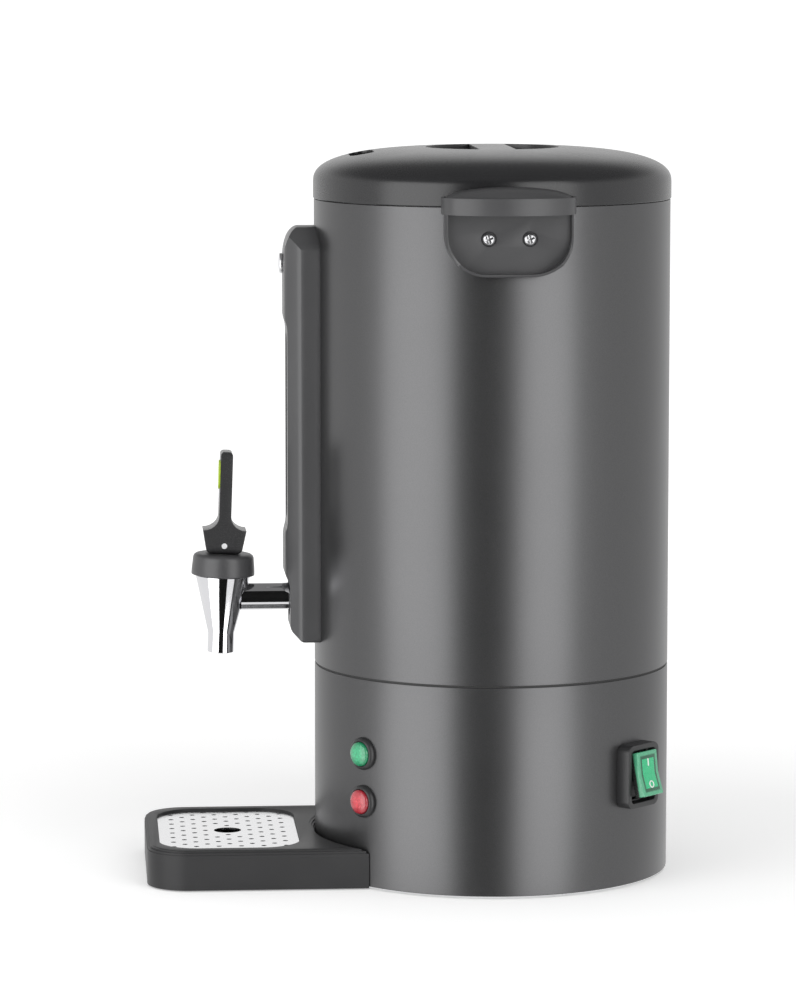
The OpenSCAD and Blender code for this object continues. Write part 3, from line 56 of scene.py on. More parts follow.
class Tone:
    """One socket of a shader. Sums on it add Math nodes, and node() adds any other kind."""

    def __init__(self, tree, socket=None):
        self.tree, self.socket = tree, socket

    def node(self, kind, settings=None, sockets=None, out=0):
        made = self.tree.nodes.new(kind)
        for name, value in (settings or {}).items():
            if name == "stops":
                while len(made.color_ramp.elements) < len(value):
                    made.color_ramp.elements.new(0.5)
                for stop, (place, grey) in zip(made.color_ramp.elements, value):
                    stop.position, stop.color = place, (grey, grey, grey, 1)
            else:
                setattr(made, name, value)
        for name, value in (sockets or {}).items():
            pin = made.inputs[name] if isinstance(name, int) else Tone.named(made.inputs, name)
            if isinstance(value, Tone):
                self.tree.links.new(value.socket, pin)
            else:
                pin.default_value = value
        return Tone(self.tree, made.outputs[out] if isinstance(out, int) else Tone.named(made.outputs, out))

    @staticmethod
    def named(pins, name):
        return next(pin for pin in pins if pin.enabled and pin.name == name)

    def sum(self, operation, first, second):
        return self.node("ShaderNodeMath", {"operation": operation}, {0: first, 1: second})

    def __add__(self, other):
        return self.sum("ADD", self, other)

    def __radd__(self, other):
        return self.sum("ADD", other, self)

    def __sub__(self, other):
        return self.sum("SUBTRACT", self, other)

    def __mul__(self, other):
        return self.sum("MULTIPLY", self, other)

    def __truediv__(self, other):
        return self.sum("DIVIDE", self, other)


def shader_of(name):
    """A new material with its main shader, and the place on the piece in metres."""
    material = bpy.data.materials.new(name)
    material.use_nodes = True
    tree = material.node_tree
    place = Tone(tree).node("ShaderNodeTexCoord", out="Object")
    return material, tree.nodes["Principled BSDF"], place


def feed(shader, place, sockets):
    """Values and links for the sockets of a main shader."""
    for name, value in sockets.items():
        if isinstance(value, Tone):
            place.tree.links.new(value.socket, shader.inputs[name])
        else:
            shader.inputs[name].default_value = value


def noise(place, size, detail=2.0, stretch=None):
    """Noise with grains of a size in metres, drawn out along an axis if asked."""
    if stretch:
        place = place.node("ShaderNodeMapping", {}, {"Vector": place, "Scale": stretch})
    return place.node("ShaderNodeTexNoise", {}, {"Vector": place, "Scale": 1 / size, "Detail": detail}, "Fac")


def ramp(tone, low, high, at_low=0.0, at_high=1.0):
    """A straight rise between two levels, clamped outside them."""
    return tone.node("ShaderNodeMapRange", {}, {"Value": tone, "From Min": low, "From Max": high,
                                                "To Min": at_low, "To Max": at_high}, "Result")


def tint(factor, first, second):
    """A colour between two."""
    return factor.node("ShaderNodeMix", {"data_type": "RGBA"},
                       {"Factor": factor, "A": first, "B": second}, "Result")


def bump(height, depth):
    """Relief of a height from 0 to 1, depth in metres."""
    return height.node("ShaderNodeBump", {}, {"Height": height, "Distance": depth, "Strength": 1.0}, "Normal")


def grey(level):
    """A plain grey as a socket's colour."""
    return (level, level, level, 1)


def facing(tone):
    """One where a ray comes straight from the camera or through glass, and nothing elsewhere."""
    return tone.node("ShaderNodeLightPath", out="Is Camera Ray") + tone.node(
        "ShaderNodeLightPath", out="Is Transmission Ray")


CAMERA_SPOT = (2.7837, -0.2588, 0.5666)
CAMERA_WAY = (-0.99025, 0.07137, -0.11964)
CAMERA_LENS = 162.96
CAMERA_TURN = 5.31


camera_data = bpy.data.cameras.new("camera")
camera_data.lens = CAMERA_LENS
camera_data.clip_start, camera_data.clip_end = 0.1, 100
camera = bpy.data.objects.new("camera", camera_data)
scene.collection.objects.link(camera)
camera.location = CAMERA_SPOT
camera.rotation_mode = "QUATERNION"
camera.rotation_quaternion = Vector(CAMERA_WAY).to_track_quat("-Z", "Y")
scene.camera = camera

world = bpy.data.worlds.new("studio")
scene.world = world
world.use_nodes = True
air = Tone(world.node_tree)
glossy = air.node("ShaderNodeLightPath", out="Is Glossy Ray")
way = air.node("ShaderNodeTexCoord", out="Generated")
skyward = air.node("ShaderNodeSeparateXYZ", {}, {"Vector": way}, "Z")
level = 0.5 + facing(air) * 0.5 + glossy * ramp(skyward, 0.3, 0.6, 0.42, -0.3)
sky = world.node_tree.nodes["Background"]
world.node_tree.links.new(level.socket, sky.inputs["Strength"])
sky.inputs["Color"].default_value = (1, 1, 1, 1)

bpy.ops.object.select_all(action="DESELECT")
bpy.ops.mesh.primitive_circle_add(vertices=96, radius=60, fill_type="NGON", location=(0, 0, 0))
floor = bpy.context.object
floor.name = "floor"
floor_paint, floor_shader, place = shader_of("floor_paint")
reach = place.node("ShaderNodeVectorMath", {"operation": "LENGTH"}, {0: place}, "Value")
feed(floor_shader, place, {"Base Color": grey(0.86), "Roughness": 0.6, "Specular IOR Level": 0.0,
                           "Emission Color": facing(place) * ramp(reach, 0.3, 1.2, 0.29, 0.7),
                           "Emission Strength": 1.0})
floor.data.materials.append(floor_paint)
floor.visible_glossy = floor.visible_shadow = False


def hung(name, spot, aim, size, power):
    """A soft rectangular lamp at a spot, turned to what it lights."""
    data = bpy.data.lights.new(name, "AREA")
    data.shape = "RECTANGLE"
    data.size, data.size_y = size
    data.energy = power
    lamp = bpy.data.objects.new(name, data)
    scene.collection.objects.link(lamp)
    lamp.location = spot
    lamp.rotation_mode = "QUATERNION"
    lamp.rotation_quaternion = (Vector(aim) - Vector(spot)).to_track_quat("-Z", "Y")
    lamp.visible_camera = False
    return lamp


def round_camera(degrees, distance, height):
    """A spot at an angle from the camera, to the right of the picture where it is more than zero."""
    turn = math.radians(CAMERA_TURN - degrees)
    return (distance * math.cos(turn), -distance * math.sin(turn), height)


LAMP_DISTANCE = 1.15
LEFT_MID = 0.16
RIGHT_MID = 0.31
CURTAIN_ANGLE = -4
hung("left_lamp", round_camera(-47, LAMP_DISTANCE, LEFT_MID), (0, 0, LEFT_MID), (1.0, 1.7), 11.4)
hung("right_lamp", round_camera(34, LAMP_DISTANCE, RIGHT_MID), (0, 0, RIGHT_MID), (0.73, 2.0), 9.9)
hung("top_lamp", (0.1, 0, 2.4), (0, 0, 0), (2.4, 2.4), 12).visible_glossy = False

bpy.ops.object.select_all(action="DESELECT")
bpy.ops.mesh.primitive_plane_add(size=1, location=round_camera(CURTAIN_ANGLE, 1.0, 0.35),
                                 rotation=(math.radians(90), 0, math.radians(90 - CAMERA_TURN + CURTAIN_ANGLE)))
curtain = bpy.context.object
curtain.name = "curtain"
curtain.scale = (0.73, 2.3, 1)
curtain_cloth, curtain_shader, place = shader_of("curtain_cloth")
feed(curtain_shader, place, {"Base Color": grey(0.015), "Roughness": 0.9, "Specular IOR Level": 0.0})
curtain.visible_camera = curtain.visible_diffuse = curtain.visible_shadow = False
curtain.data.materials.append(curtain_cloth)

# ---- Feet and base plate ----
# Four rubber feet hold the urn just off the worktop. The base plate is pressed steel sheet, screwed
# up into the bosses of the housing, and none of it shows while the urn stands.


def moulded(name, colour, roughness, grain=0.00035, depth=0.00001, gloss=0.5):
    """Moulded plastic or rubber with the fine texture of its tool and faint cloudy patches."""
    material, shader, place = shader_of(name)
    fine = noise(place, grain, 3.0)
    patches = noise(place, 0.03, 2.0)
    dim, bright = [(*[level * share for level in colour], 1) for share in (0.9, 1.1)]
    feed(shader, place, {"Base Color": tint(patches, dim, bright),
                         "Roughness": roughness + (fine - 0.5) * 0.12 + (patches - 0.5) * 0.06,
                         "Specular IOR Level": gloss, "Normal": bump(fine, depth)})
    return material


def metal(name, colour, roughness, grain=0.0006, stretch=None, depth=0.0, rub=0.08):
    """Bare metal with a fine grain, drawn out along the way it was rolled or turned, and rubbed patches."""
    material, shader, place = shader_of(name)
    fine = noise(place, grain, 2.0, stretch)
    patches = noise(place, 0.02, 3.0)
    sockets = {"Base Color": tint(patches, (*[c * 0.93 for c in colour], 1), (*colour, 1)), "Metallic": 1.0,
               "Roughness": roughness + (fine - 0.5) * rub + (patches - 0.5) * rub}
    if depth:
        sockets["Normal"] = bump(fine, depth)
    feed(shader, place, sockets)
    return material


def dress(material, *names):
    """The frame's own solids of these names get a finish."""
    for name in names:
        nodes[name].data.materials.clear()
        nodes[name].data.materials.append(material)


foot_rubber = moulded("foot_rubber", (0.02, 0.02, 0.02), 0.72)
sheet_steel = metal("sheet_steel", (0.58, 0.59, 0.6), 0.34, 0.0004, (1, 1, 12), 0.000004)
dress(foot_rubber, "feet", "tray_feet")
dress(sheet_steel, "base_plate", "base_screws")

# ---- Base housing ----
# A ring of steel tube, powder coated in a dark metallic grey, that hides the heater and its wiring.
# Round holes for the pilot lamps and a square one for the switch are punched through its wall.

BODY_R = 110.0
BASE_TOP = 129.0
FOOT_LIFT = 1.5
LAMP_ANGLE = 40
LAMP_HEIGHTS = (54.0, 83.5)
SWITCH_ANGLE = 137
SWITCH_HEIGHT = 69.5
PUNCH_DEPTH = 0.02


def mm(*sizes):
    """Sizes in millimetres, as the metres that Blender works in."""
    return tuple(size * 0.001 for size in sizes)


def begin(name, kind, **shape):
    """A primitive at its size and place, alone in the selection."""
    bpy.ops.object.select_all(action="DESELECT")
    getattr(bpy.ops.mesh, f"primitive_{kind}_add")(**shape)
    bpy.ops.object.transform_apply(location=True, rotation=True, scale=True)
    piece = bpy.context.object
    piece.name = piece.data.name = name
    return piece


def drawn(name, points):
    """A line of edges drawn from point to point in millimetres. It is left in edit mode, all selected."""
    piece = begin(name, "plane", size=0.001, location=mm(*points[0]))
    bpy.ops.object.mode_set(mode="EDIT")
    bpy.ops.mesh.select_mode(type="VERT")
    bpy.ops.mesh.select_all(action="SELECT")
    bpy.ops.mesh.merge(type="CENTER")
    for last, point in zip(points, points[1:]):
        step = mm(*[b - a for a, b in zip(last, point)])
        bpy.ops.mesh.extrude_region_move(TRANSFORM_OT_translate={"value": step})
    bpy.ops.mesh.select_all(action="SELECT")
    bpy.ops.mesh.remove_doubles(threshold=1e-6)
    return piece


def turned(name, profile, steps=96):
    """A closed form turned about Z from a profile of radius and height in millimetres."""
    piece = drawn(name, [(r, 0, z) for r, z in profile])
    bpy.ops.mesh.spin(steps=steps, angle=math.tau, center=(0, 0, 0), axis=(0, 0, 1))
    bpy.ops.mesh.select_all(action="SELECT")
    bpy.ops.mesh.remove_doubles(threshold=1e-6)
    bpy.ops.mesh.normals_make_consistent(inside=False)
    bpy.ops.object.mode_set(mode="OBJECT")
    return piece


def plate(name, outline, low, high):
    """A plate with an outline in plan, drawn up from one height to another."""
    piece = drawn(name, [(x, y, low) for x, y in (*outline, outline[0])])
    bpy.ops.mesh.edge_face_add()
    bpy.ops.mesh.extrude_region_move(TRANSFORM_OT_translate={"value": mm(0, 0, high - low)})
    bpy.ops.mesh.select_all(action="SELECT")
    bpy.ops.mesh.normals_make_consistent(inside=False)
    bpy.ops.object.mode_set(mode="OBJECT")
    return piece


def worked(piece, kind, **settings):
    """A modifier, applied at once."""
    modifier = piece.modifiers.new(kind.lower(), kind)
    for name, value in settings.items():
        setattr(modifier, name, value)
    bpy.context.view_layer.objects.active = piece
    bpy.ops.object.modifier_apply(modifier=modifier.name)
    return piece


def carved(piece, tool, way="DIFFERENCE"):
    """A tool cut out of a piece, or joined to it or kept with it, and thrown away."""
    worked(piece, "BOOLEAN", object=tool, operation=way, solver="EXACT")
    bpy.data.objects.remove(tool)
    return piece


def rounded(piece, width, angle=30, segments=3):
    """Edges sharper than an angle in degrees rounded to a width in millimetres."""
    return worked(piece, "BEVEL", width=width * 0.001, segments=segments, limit_method="ANGLE",
                  angle_limit=math.radians(angle), harden_normals=False, miter_outer="MITER_ARC")


def chosen(piece):
    """The piece alone in the selection, and active."""
    bpy.ops.object.select_all(action="DESELECT")
    piece.select_set(True)
    bpy.context.view_layer.objects.active = piece
    return piece


def settled(piece, spot=(0, 0, 0), turns=(0, 0, 0), smooth=35):
    """Turned in degrees, moved in millimetres, its place put into its mesh, and shaded smooth."""
    chosen(piece)
    piece.location = mm(*spot)
    piece.rotation_euler = [math.radians(turn) for turn in turns]
    bpy.ops.object.transform_apply(location=True, rotation=True, scale=True)
    bpy.ops.object.shade_smooth_by_angle(angle=math.radians(smooth))
    return piece


def fitted(piece, material, body, slot, *replaced):
    """A finished piece gets its finish, rides on a body and hides the frame's nodes that it takes the place of.
    """
    piece.data.materials.clear()
    piece.data.materials.append(material)
    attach(piece, body)
    if replaced:
        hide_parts(*replaced)
    return piece


def on_side(angle, out, height):
    """A spot on the urn's side, at an angle from the front, and the turns that face a piece outwards there."""
    turn = math.radians(angle)
    return (out * math.sin(turn), -out * math.cos(turn), height), (90, 0, angle)


# Powder coat with metal flake: the flake shows as a fine sparkle, and the coat has a slight orange peel.
coat, shader, place = shader_of("powder_coat")
flake = noise(place, 0.0005, 2.0)
peel = noise(place, 0.0022, 2.0)
clouds = noise(place, 0.05, 2.0)
coat_grey = tint(ramp(flake, 0.3, 0.7), (0.093, 0.093, 0.095, 1), (0.113, 0.113, 0.115, 1))
feed(shader, place, {"Base Color": coat_grey,
                     "Metallic": 0.9, "Roughness": 0.33 + (flake - 0.5) * 0.16 + (clouds - 0.5) * 0.04,
                     "Normal": bump(flake * 0.6 + peel * 0.4, 0.000012)})

WALL = 2.0
housing = turned("housing", [
    (BODY_R - WALL, FOOT_LIFT), (BODY_R - 0.8, FOOT_LIFT), (BODY_R - 0.2, FOOT_LIFT + 0.2),
    (BODY_R, FOOT_LIFT + 0.8), (BODY_R, BASE_TOP - 0.6), (BODY_R - 0.2, BASE_TOP - 0.15),
    (BODY_R - 0.6, BASE_TOP), (BODY_R - WALL, BASE_TOP), (BODY_R - WALL, FOOT_LIFT)], 240)
for height in LAMP_HEIGHTS:
    spot, turns = on_side(LAMP_ANGLE, BODY_R, height)
    punch = begin("punch", "cylinder", vertices=48, radius=0.0066, depth=PUNCH_DEPTH)
    carved(housing, settled(punch, spot, turns))
spot, turns = on_side(SWITCH_ANGLE, BODY_R, SWITCH_HEIGHT)
punch = begin("punch", "cube", size=1, scale=(0.0225, 0.0305, PUNCH_DEPTH))
carved(housing, settled(punch, spot, turns))
fitted(settled(housing), coat, "urn", "jacket_paint", "base_housing")

# ---- Pilot lamps ----
# A green and a red neon lamp. Each has a moulded black bezel with a wide chamfer, snapped into the
# housing, and a domed lens with a fine prism pattern moulded inside it.

bezel_black = moulded("bezel_black", (0.022, 0.022, 0.023), 0.38)


def lens_glass(name, deep, bright, spot):
    """Coloured lens with small prisms and a painted glow: bright in the middle where the neon sits and deep at
    the rim.
    """
    material, shader, place = shader_of(name)
    centred = place.node("ShaderNodeVectorMath", {"operation": "SUBTRACT"}, {0: place, 1: mm(*spot)})
    reach = centred.node("ShaderNodeVectorMath", {"operation": "LENGTH"}, {0: centred}, "Value")
    prism = place.node("ShaderNodeTexVoronoi", {}, {"Vector": place, "Scale": 900.0}, "Distance")
    # Painted glow of the neon: the colour is lit up in the middle and falls to the deep colour at the rim.
    painted_neon_glow = ramp(reach, 0.0025, 0.0085, 1.0, 0.0) * ramp(prism, 0.1, 0.7, 1.0, 0.45)
    feed(shader, place, {"Base Color": tint(painted_neon_glow, (*deep, 1), (*bright, 1)), "Roughness": 0.16 + prism * 0.2,
                         "Coat Weight": 0.6, "Coat Roughness": 0.05, "Normal": bump(prism, 0.00012)})
    return material


def copied(start, name):
    """A copy of a piece, with a mesh of its own."""
    piece = bpy.data.objects.new(name, start.data.copy())
    scene.collection.objects.link(piece)
    return piece


lamp_colours = (("green", (0.0, 0.13, 0.05), (0.08, 0.62, 0.3)), ("red", (0.2, 0.0, 0.01), (0.85, 0.1, 0.12)))
lamp_bezel = turned("lamp_bezel", [
    (7.55, -1), (9.6, -1), (10, 0.2), (10, 1.2), (9.6, 2.2), (8.7, 3.2), (8.2, 3.4), (7.8, 3.3), (7.6, 2.9),
    (7.55, -1)], 64)
lamp_lens = turned("lamp_lens", [
    (0, -1), (7.3, -1), (7.4, 3.6), (7.2, 4.3), (6.7, 4.8), (5.6, 5.25), (4, 5.65), (2, 5.93), (0, 6)], 64)
bezels = []
for (name, deep, bright), height in zip(reversed(lamp_colours), LAMP_HEIGHTS):
    spot, turns = on_side(LAMP_ANGLE, BODY_R, height)
    bezel = settled(copied(lamp_bezel, f"{name}_bezel"), spot, turns)
    bezels.append(fitted(bezel, bezel_black, "urn", "dark_plastic"))
    face, turns = on_side(LAMP_ANGLE, BODY_R + 4.5, height)
    lens = settled(copied(lamp_lens, f"{name}_lens_dome"), spot, turns)
    fitted(lens, lens_glass(f"{name}_lens", deep, bright, face), "urn", f"{name}_lens", f"{name}_lens")
for bezel in bezels:
    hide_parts("lamp_bezels")
for start in (lamp_bezel, lamp_lens):
    bpy.data.objects.remove(start)
dress(bezel_black, "lamp_nuts")
dress(moulded("lamp_white", (0.7, 0.7, 0.66), 0.45), "lamp_bodies")

# ---- Switch ----
# A double-pole rocker switch, snapped into the square hole. A soft clear boot keeps splashes out, and
# the green rocker with its white marks is seen through it; the rocker's glow is painted into the boot.


def softened(node, name, edge, angle=30, segments=3):
    """The frame's own form of a moulded piece: seams closed, flats joined, edges rounded to a width."""
    piece = chosen(copied(nodes[node], name))
    bpy.ops.object.mode_set(mode="EDIT")
    bpy.ops.mesh.select_all(action="SELECT")
    bpy.ops.mesh.remove_doubles(threshold=2e-6)
    bpy.ops.mesh.dissolve_limited(angle_limit=math.radians(0.5))
    bpy.ops.object.mode_set(mode="OBJECT")
    return settled(rounded(piece, edge, angle, segments))


ROCKER_AXIS = 3
ROCKER_TILT = 12
MARK_SPREAD = 6.8
MARK_OUT = 9.83
MARK_LEAN = math.radians(5.9)

fitted(softened("switch_bezel", "switch_frame", 0.7), bezel_black, "urn", "dark_plastic", "switch_bezel")
dress(bezel_black, "switch_body")

rocker_green = moulded("rocker_green", (0.03, 0.5, 0.22), 0.25)
dress(rocker_green, "switch_rocker")

# The boot is black up its flank and pale at its rim, and the glow of the lit rocker is painted into its middle.
spot, turns = on_side(SWITCH_ANGLE, BODY_R + ROCKER_AXIS, SWITCH_HEIGHT)
turns = (turns[0] - ROCKER_TILT, 0, turns[2])
film, shader, place = shader_of("boot_film")
offset = place.node("ShaderNodeVectorMath", {"operation": "SUBTRACT"}, {0: place, 1: mm(*spot)})
across, climb, out = [
    offset.node("ShaderNodeVectorMath", {"operation": "DOT_PRODUCT"}, {0: offset, 1: axis}, "Value")
    for axis in Euler([math.radians(turn) for turn in turns]).to_matrix().transposed()]
rim = place.sum("MAXIMUM", place.sum("ABSOLUTE", across, 0) / 0.0072, place.sum("ABSOLUTE", climb, 0) / 0.0107)
weave = place.sum("SINE", (across + climb) * 5200, 0) * 0.5 + 0.5
# Painted glow: the lit rocker under the boot, painted into the boot's colour.
painted_rocker_glow = tint(weave, (0.01, 0.34, 0.13, 1), (0.04, 0.56, 0.26, 1))
middle = tint(ramp(rim, 0.82, 0.86), painted_rocker_glow, (0.01, 0.09, 0.045, 1))
face = tint(ramp(rim, 1.0, 1.08), middle, (0.08, 0.36, 0.2, 1))
ripple = noise(place, 0.004, 2.0)
feed(shader, place, {"Base Color": tint(ramp(out, 0.0062, 0.0072), (0.02, 0.022, 0.021, 1), face),
                     "Roughness": 0.2 + ripple * 0.15, "Coat Weight": 0.4, "Alpha": 0.94,
                     "Normal": bump(ripple, 0.00002)})
fitted(softened("switch_boot", "splash_boot", 0.6, segments=4), film, "rocker", "boot_film", "switch_boot")

mark_white = moulded("mark_white", (0.82, 0.82, 0.8), 0.4)
on_mark = rounded(begin("on_mark", "cube", size=1, location=mm(0, MARK_SPREAD, MARK_OUT),
                        rotation=(MARK_LEAN, 0, 0), scale=mm(0.95, 4.6, 0.3)), 0.12)
off_mark = begin("off_mark", "torus", location=mm(0, -MARK_SPREAD, MARK_OUT), rotation=(-MARK_LEAN, 0, 0),
                 major_segments=48, minor_segments=10, major_radius=0.0019, minor_radius=0.00038)
for mark in (on_mark, off_mark):
    fitted(settled(mark, spot, turns), mark_white, "rocker", "white_plastic")

# ---- Cord gland ----
# The mains lead goes in at the back through a moulded nylon gland. The lead unplugs and isn't shown.

dress(bezel_black, "cord_gland", "gland_nut")

# ---- Seam ring ----
# A black rubber seal, pinched between housing and jacket, that shows as a thin dark line.

dress(moulded("seal_black", (0.012, 0.012, 0.012), 0.6), "seam_ring")

# ---- Outer jacket ----
# Rolled steel tube in the same powder coat as the housing, turned in slightly at both rims.

JACKET_LOW = 130.2
JACKET_TOP = 417.5
JACKET_WALL = 1.2
jacket = turned("jacket", [
    (BODY_R - JACKET_WALL, JACKET_LOW), (BODY_R - 0.5, JACKET_LOW), (BODY_R - 0.12, JACKET_LOW + 0.15),
    (BODY_R, JACKET_LOW + 0.55), (BODY_R, JACKET_TOP - 0.55), (BODY_R - 0.12, JACKET_TOP - 0.15),
    (BODY_R - 0.5, JACKET_TOP), (BODY_R - JACKET_WALL, JACKET_TOP), (BODY_R - JACKET_WALL, JACKET_LOW)], 240)
fitted(settled(jacket), coat, "urn", "jacket_paint", "outer_jacket")

# ---- Vessel, heater and percolator ----
# The vessel, its neck and the percolator are drawn and spun stainless steel. The ring heater is
# brazed under the vessel, and its controls are clipped to the plate that carries it.

spun_steel = metal("spun_steel", (0.63, 0.64, 0.65), 0.26, 0.0005, (1, 1, 9), 0.000003)
dress(spun_steel, "inner_vessel", "neck_ring", "pump_foot", "pump_tube", "coffee_basket", "basket_lid",
      "lid_liner", "handle_backings")
dress(metal("cast_aluminium", (0.66, 0.67, 0.68), 0.42, 0.0009, None, 0.00003), "element_plate")
dress(metal("heater_sheath", (0.3, 0.31, 0.31), 0.45, 0.0008, None, 0.00001), "ring_heater")
dress(metal("plated_steel", (0.62, 0.62, 0.6), 0.3), "plate_nuts", "tap_spring", "lid_screws")
dress(moulded("phenolic", (0.03, 0.026, 0.024), 0.5), "thermostat", "safety_cutout", "tube_holder",
      "tube_elbow")
dress(moulded("steatite", (0.68, 0.65, 0.58), 0.55, 0.0008), "terminal_block")
dress(moulded("wire_cover", (0.32, 0.06, 0.04), 0.45), "wiring")
dress(metal("brass", (0.7, 0.53, 0.25), 0.28), "shank_nut")
dress(moulded("silicone", (0.7, 0.7, 0.68), 0.5), "tube_seals", "shank_seal", "seat_cup", "lid_gasket")
dress(metal("stem_steel", (0.63, 0.64, 0.65), 0.2), "tap_stem")
dress(metal("pin_steel", (0.85, 0.85, 0.86), 0.5), "lever_pin")

# ---- Handles ----
# Two moulded handles, each a pocket for the fingers under a thick band with a crowned top. Two
# cross-head screws through the back of the pocket pull it against the jacket.

HANDLE_LOW = 376.6
BAND_LOW = 413.8
BAND_TOP = 423.8
HANDLE_TOP = 430.0
SCREW_HEIGHT = 399.0
SCREW_SPREAD = 12.3
SCREW_SEAT = 112.5
POCKET_BACK = 112.6
CUP_HALF = 38.5
CUP_RIM = 1.6
END_R = 18.0
END_SPOT = (109.78, 22.0)
CROWN_R = 60.0
CROWN_X = 74.0
CROWN_TURN = 31.6


def arc(x, y, radius, first, last, count=12):
    """Points on an arc about a centre."""
    turns = [math.radians(first + (last - first) * i / count) for i in range(count + 1)]
    return [(x + radius * math.cos(turn), y + radius * math.sin(turn)) for turn in turns]


def oval(inset):
    """The band's outline in plan, drawn in by an inset: one wide arc between two round corners."""
    x, y = END_SPOT
    return [(100, inset - y - END_R), *arc(x, -y, END_R - inset, -90, -CROWN_TURN),
            *arc(CROWN_X, 0, CROWN_R - inset, -CROWN_TURN, CROWN_TURN, 24)[1:-1],
            *arc(x, y, END_R - inset, CROWN_TURN, 90), (100, y + END_R - inset)]


def pocket_line(inset):
    """The cup's outline across and up, drawn in by an inset, with two wide lower corners."""
    half, low, corner = CUP_HALF - inset, HANDLE_LOW + inset, 25 - inset
    top = BAND_LOW + (0 if inset else 0.5)
    return [*arc(corner - half, low + corner, corner, 180, 270, 16),
            *arc(half - corner, low + corner, corner, 270, 360, 16), (half, top), (-half, top)]


def picked(piece, test):
    """Edit mode with only those faces selected whose centre, in millimetres, passes a test."""
    chosen(piece)
    bpy.ops.object.mode_set(mode="EDIT")
    bpy.ops.mesh.select_mode(type="FACE")
    bpy.ops.mesh.select_all(action="DESELECT")
    shape = bmesh.from_edit_mesh(piece.data)
    for face in shape.faces:
        face.select_set(bool(test(face.calc_center_median() * 1000)))
    bmesh.update_edit_mesh(piece.data)


handle_black = moulded("handle_black", (0.05, 0.05, 0.052), 0.4, 0.0004, 0.000012)
grip = plate("right_grip", oval(0), BAND_LOW, BAND_TOP)
picked(grip, lambda centre: centre.z > BAND_TOP - 0.1)
bpy.ops.mesh.inset(thickness=0.0015, depth=0)
bpy.ops.mesh.inset(thickness=0.0007, depth=-0.0011)
rise = HANDLE_TOP - BAND_TOP + 1.1
for last, turn in zip((0, 8, 18, 29, 41, 54, 68), (8, 18, 29, 41, 54, 68, 80)):
    last, turn = math.radians(last), math.radians(turn)
    step = mm(0, 0, rise * (math.sin(turn) - math.sin(last)))
    bpy.ops.mesh.extrude_region_move(TRANSFORM_OT_translate={"value": step})
    shrink = math.cos(turn) / math.cos(last)
    bpy.ops.transform.resize(value=(shrink, shrink, 1), center_override=mm(111, 0, 0))
bpy.ops.object.mode_set(mode="OBJECT")
cup = settled(plate("cup", pocket_line(0), 100, 136), turns=(90, 0, 90))
carved(cup, plate("oval_block", oval(1.5), HANDLE_LOW - 5, BAND_TOP), "INTERSECT")
picked(cup, lambda centre: True)
bpy.ops.mesh.bisect(plane_co=mm(116, 0, HANDLE_LOW), plane_no=(37.2, 0, -6.0), use_fill=True,
                    clear_outer=True)
bpy.ops.object.mode_set(mode="OBJECT")
carved(cup, settled(plate("pocket", pocket_line(CUP_RIM), POCKET_BACK, 140), turns=(90, 0, 90)))
carved(grip, cup, "UNION")
for radius, height in ((BODY_R, JACKET_TOP - 50), (BODY_R + 1.2, JACKET_TOP + 50)):
    carved(grip, begin("body_block", "cylinder", vertices=240, radius=radius * 0.001, depth=0.1,
                       location=mm(0, 0, height)))
for y in (-SCREW_SPREAD, SCREW_SPREAD):
    dish = turned("dish", [(0, 0), (4.1, 0), (4.9, 0.9), (4.9, 3), (0, 3)], 48)
    carved(grip, settled(dish, (111.9, y, SCREW_HEIGHT), (90, 0, 90)))
rounded(grip, 0.45, 35, 3)
left_grip = settled(copied(grip, "left_grip"), turns=(0, 0, 180))
fitted(settled(grip), handle_black, "urn", "black_plastic", "handle_right")
fitted(left_grip, handle_black, "urn", "black_plastic", "handle_left")

screw_steel = metal("screw_steel", (0.5, 0.5, 0.51), 0.3)
screw = turned("screw", [
    (0, -3), (1.9, -3), (1.9, 0), (3.5, 0), (3.75, 0.4), (3.6, 1.0), (3.0, 1.6), (2.0, 2.0), (1.0, 2.15),
    (0, 2.2)], 48)
for turn in (20, 110):
    carved(screw, begin("driver", "cube", size=1, location=mm(0, 0, 2), scale=mm(5.4, 1.35, 3.4),
                        rotation=(0, 0, math.radians(turn))))
rounded(screw, 0.12, 40, 2)
for side, turn in ((1, 90), (-1, -90)):
    for y in (-SCREW_SPREAD, SCREW_SPREAD):
        head = copied(screw, f"screw_{'right' if side > 0 else 'left'}_{'front' if y < 0 else 'back'}")
        settled(head, (side * SCREW_SEAT, y, SCREW_HEIGHT), (90, 0, turn))
        fitted(head, screw_steel, "urn", "steel", "handle_screws")
bpy.data.objects.remove(screw)

# ---- Column ----
# A long moulded cover over the sight glass, with a raised block round the button and round the tap,
# and a slot in the window between them.

COLUMN_LOW = 144.4
COLUMN_TOP = 401.0
COLUMN_HALF = 24.0
COLUMN_FACE = 129.4
SIDE_FACE = 119.5
FACE_HALF = 14.0
FOOT_FACE = 126.0
WINDOW_FACE = 127.4
SHOULDER_DEPTH = 10.1
SHOULDER_HEIGHT = 21.0
SLOT_HALF = 6.5
BUTTON_HEIGHT = 378.0
SHANK_HEIGHT = (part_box("tap_shank")[0][2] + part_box("tap_shank")[1][2]) * 500


def eased(corners, reach, count=6):
    """An outline with each corner eased into a curve that starts a reach away from it."""
    line = []
    for i, corner in enumerate(corners):
        spot = Vector(corner)
        before, after = Vector(corners[i - 1]) - spot, Vector(corners[(i + 1) % len(corners)]) - spot
        start = spot + before.normalized() * min(reach, before.length * 0.45)
        end = spot + after.normalized() * min(reach, after.length * 0.45)
        for k in range(count + 1):
            t = k / count
            line.append(tuple(start * (1 - t) ** 2 + spot * (2 * t * (1 - t)) + end * t * t))
    return line


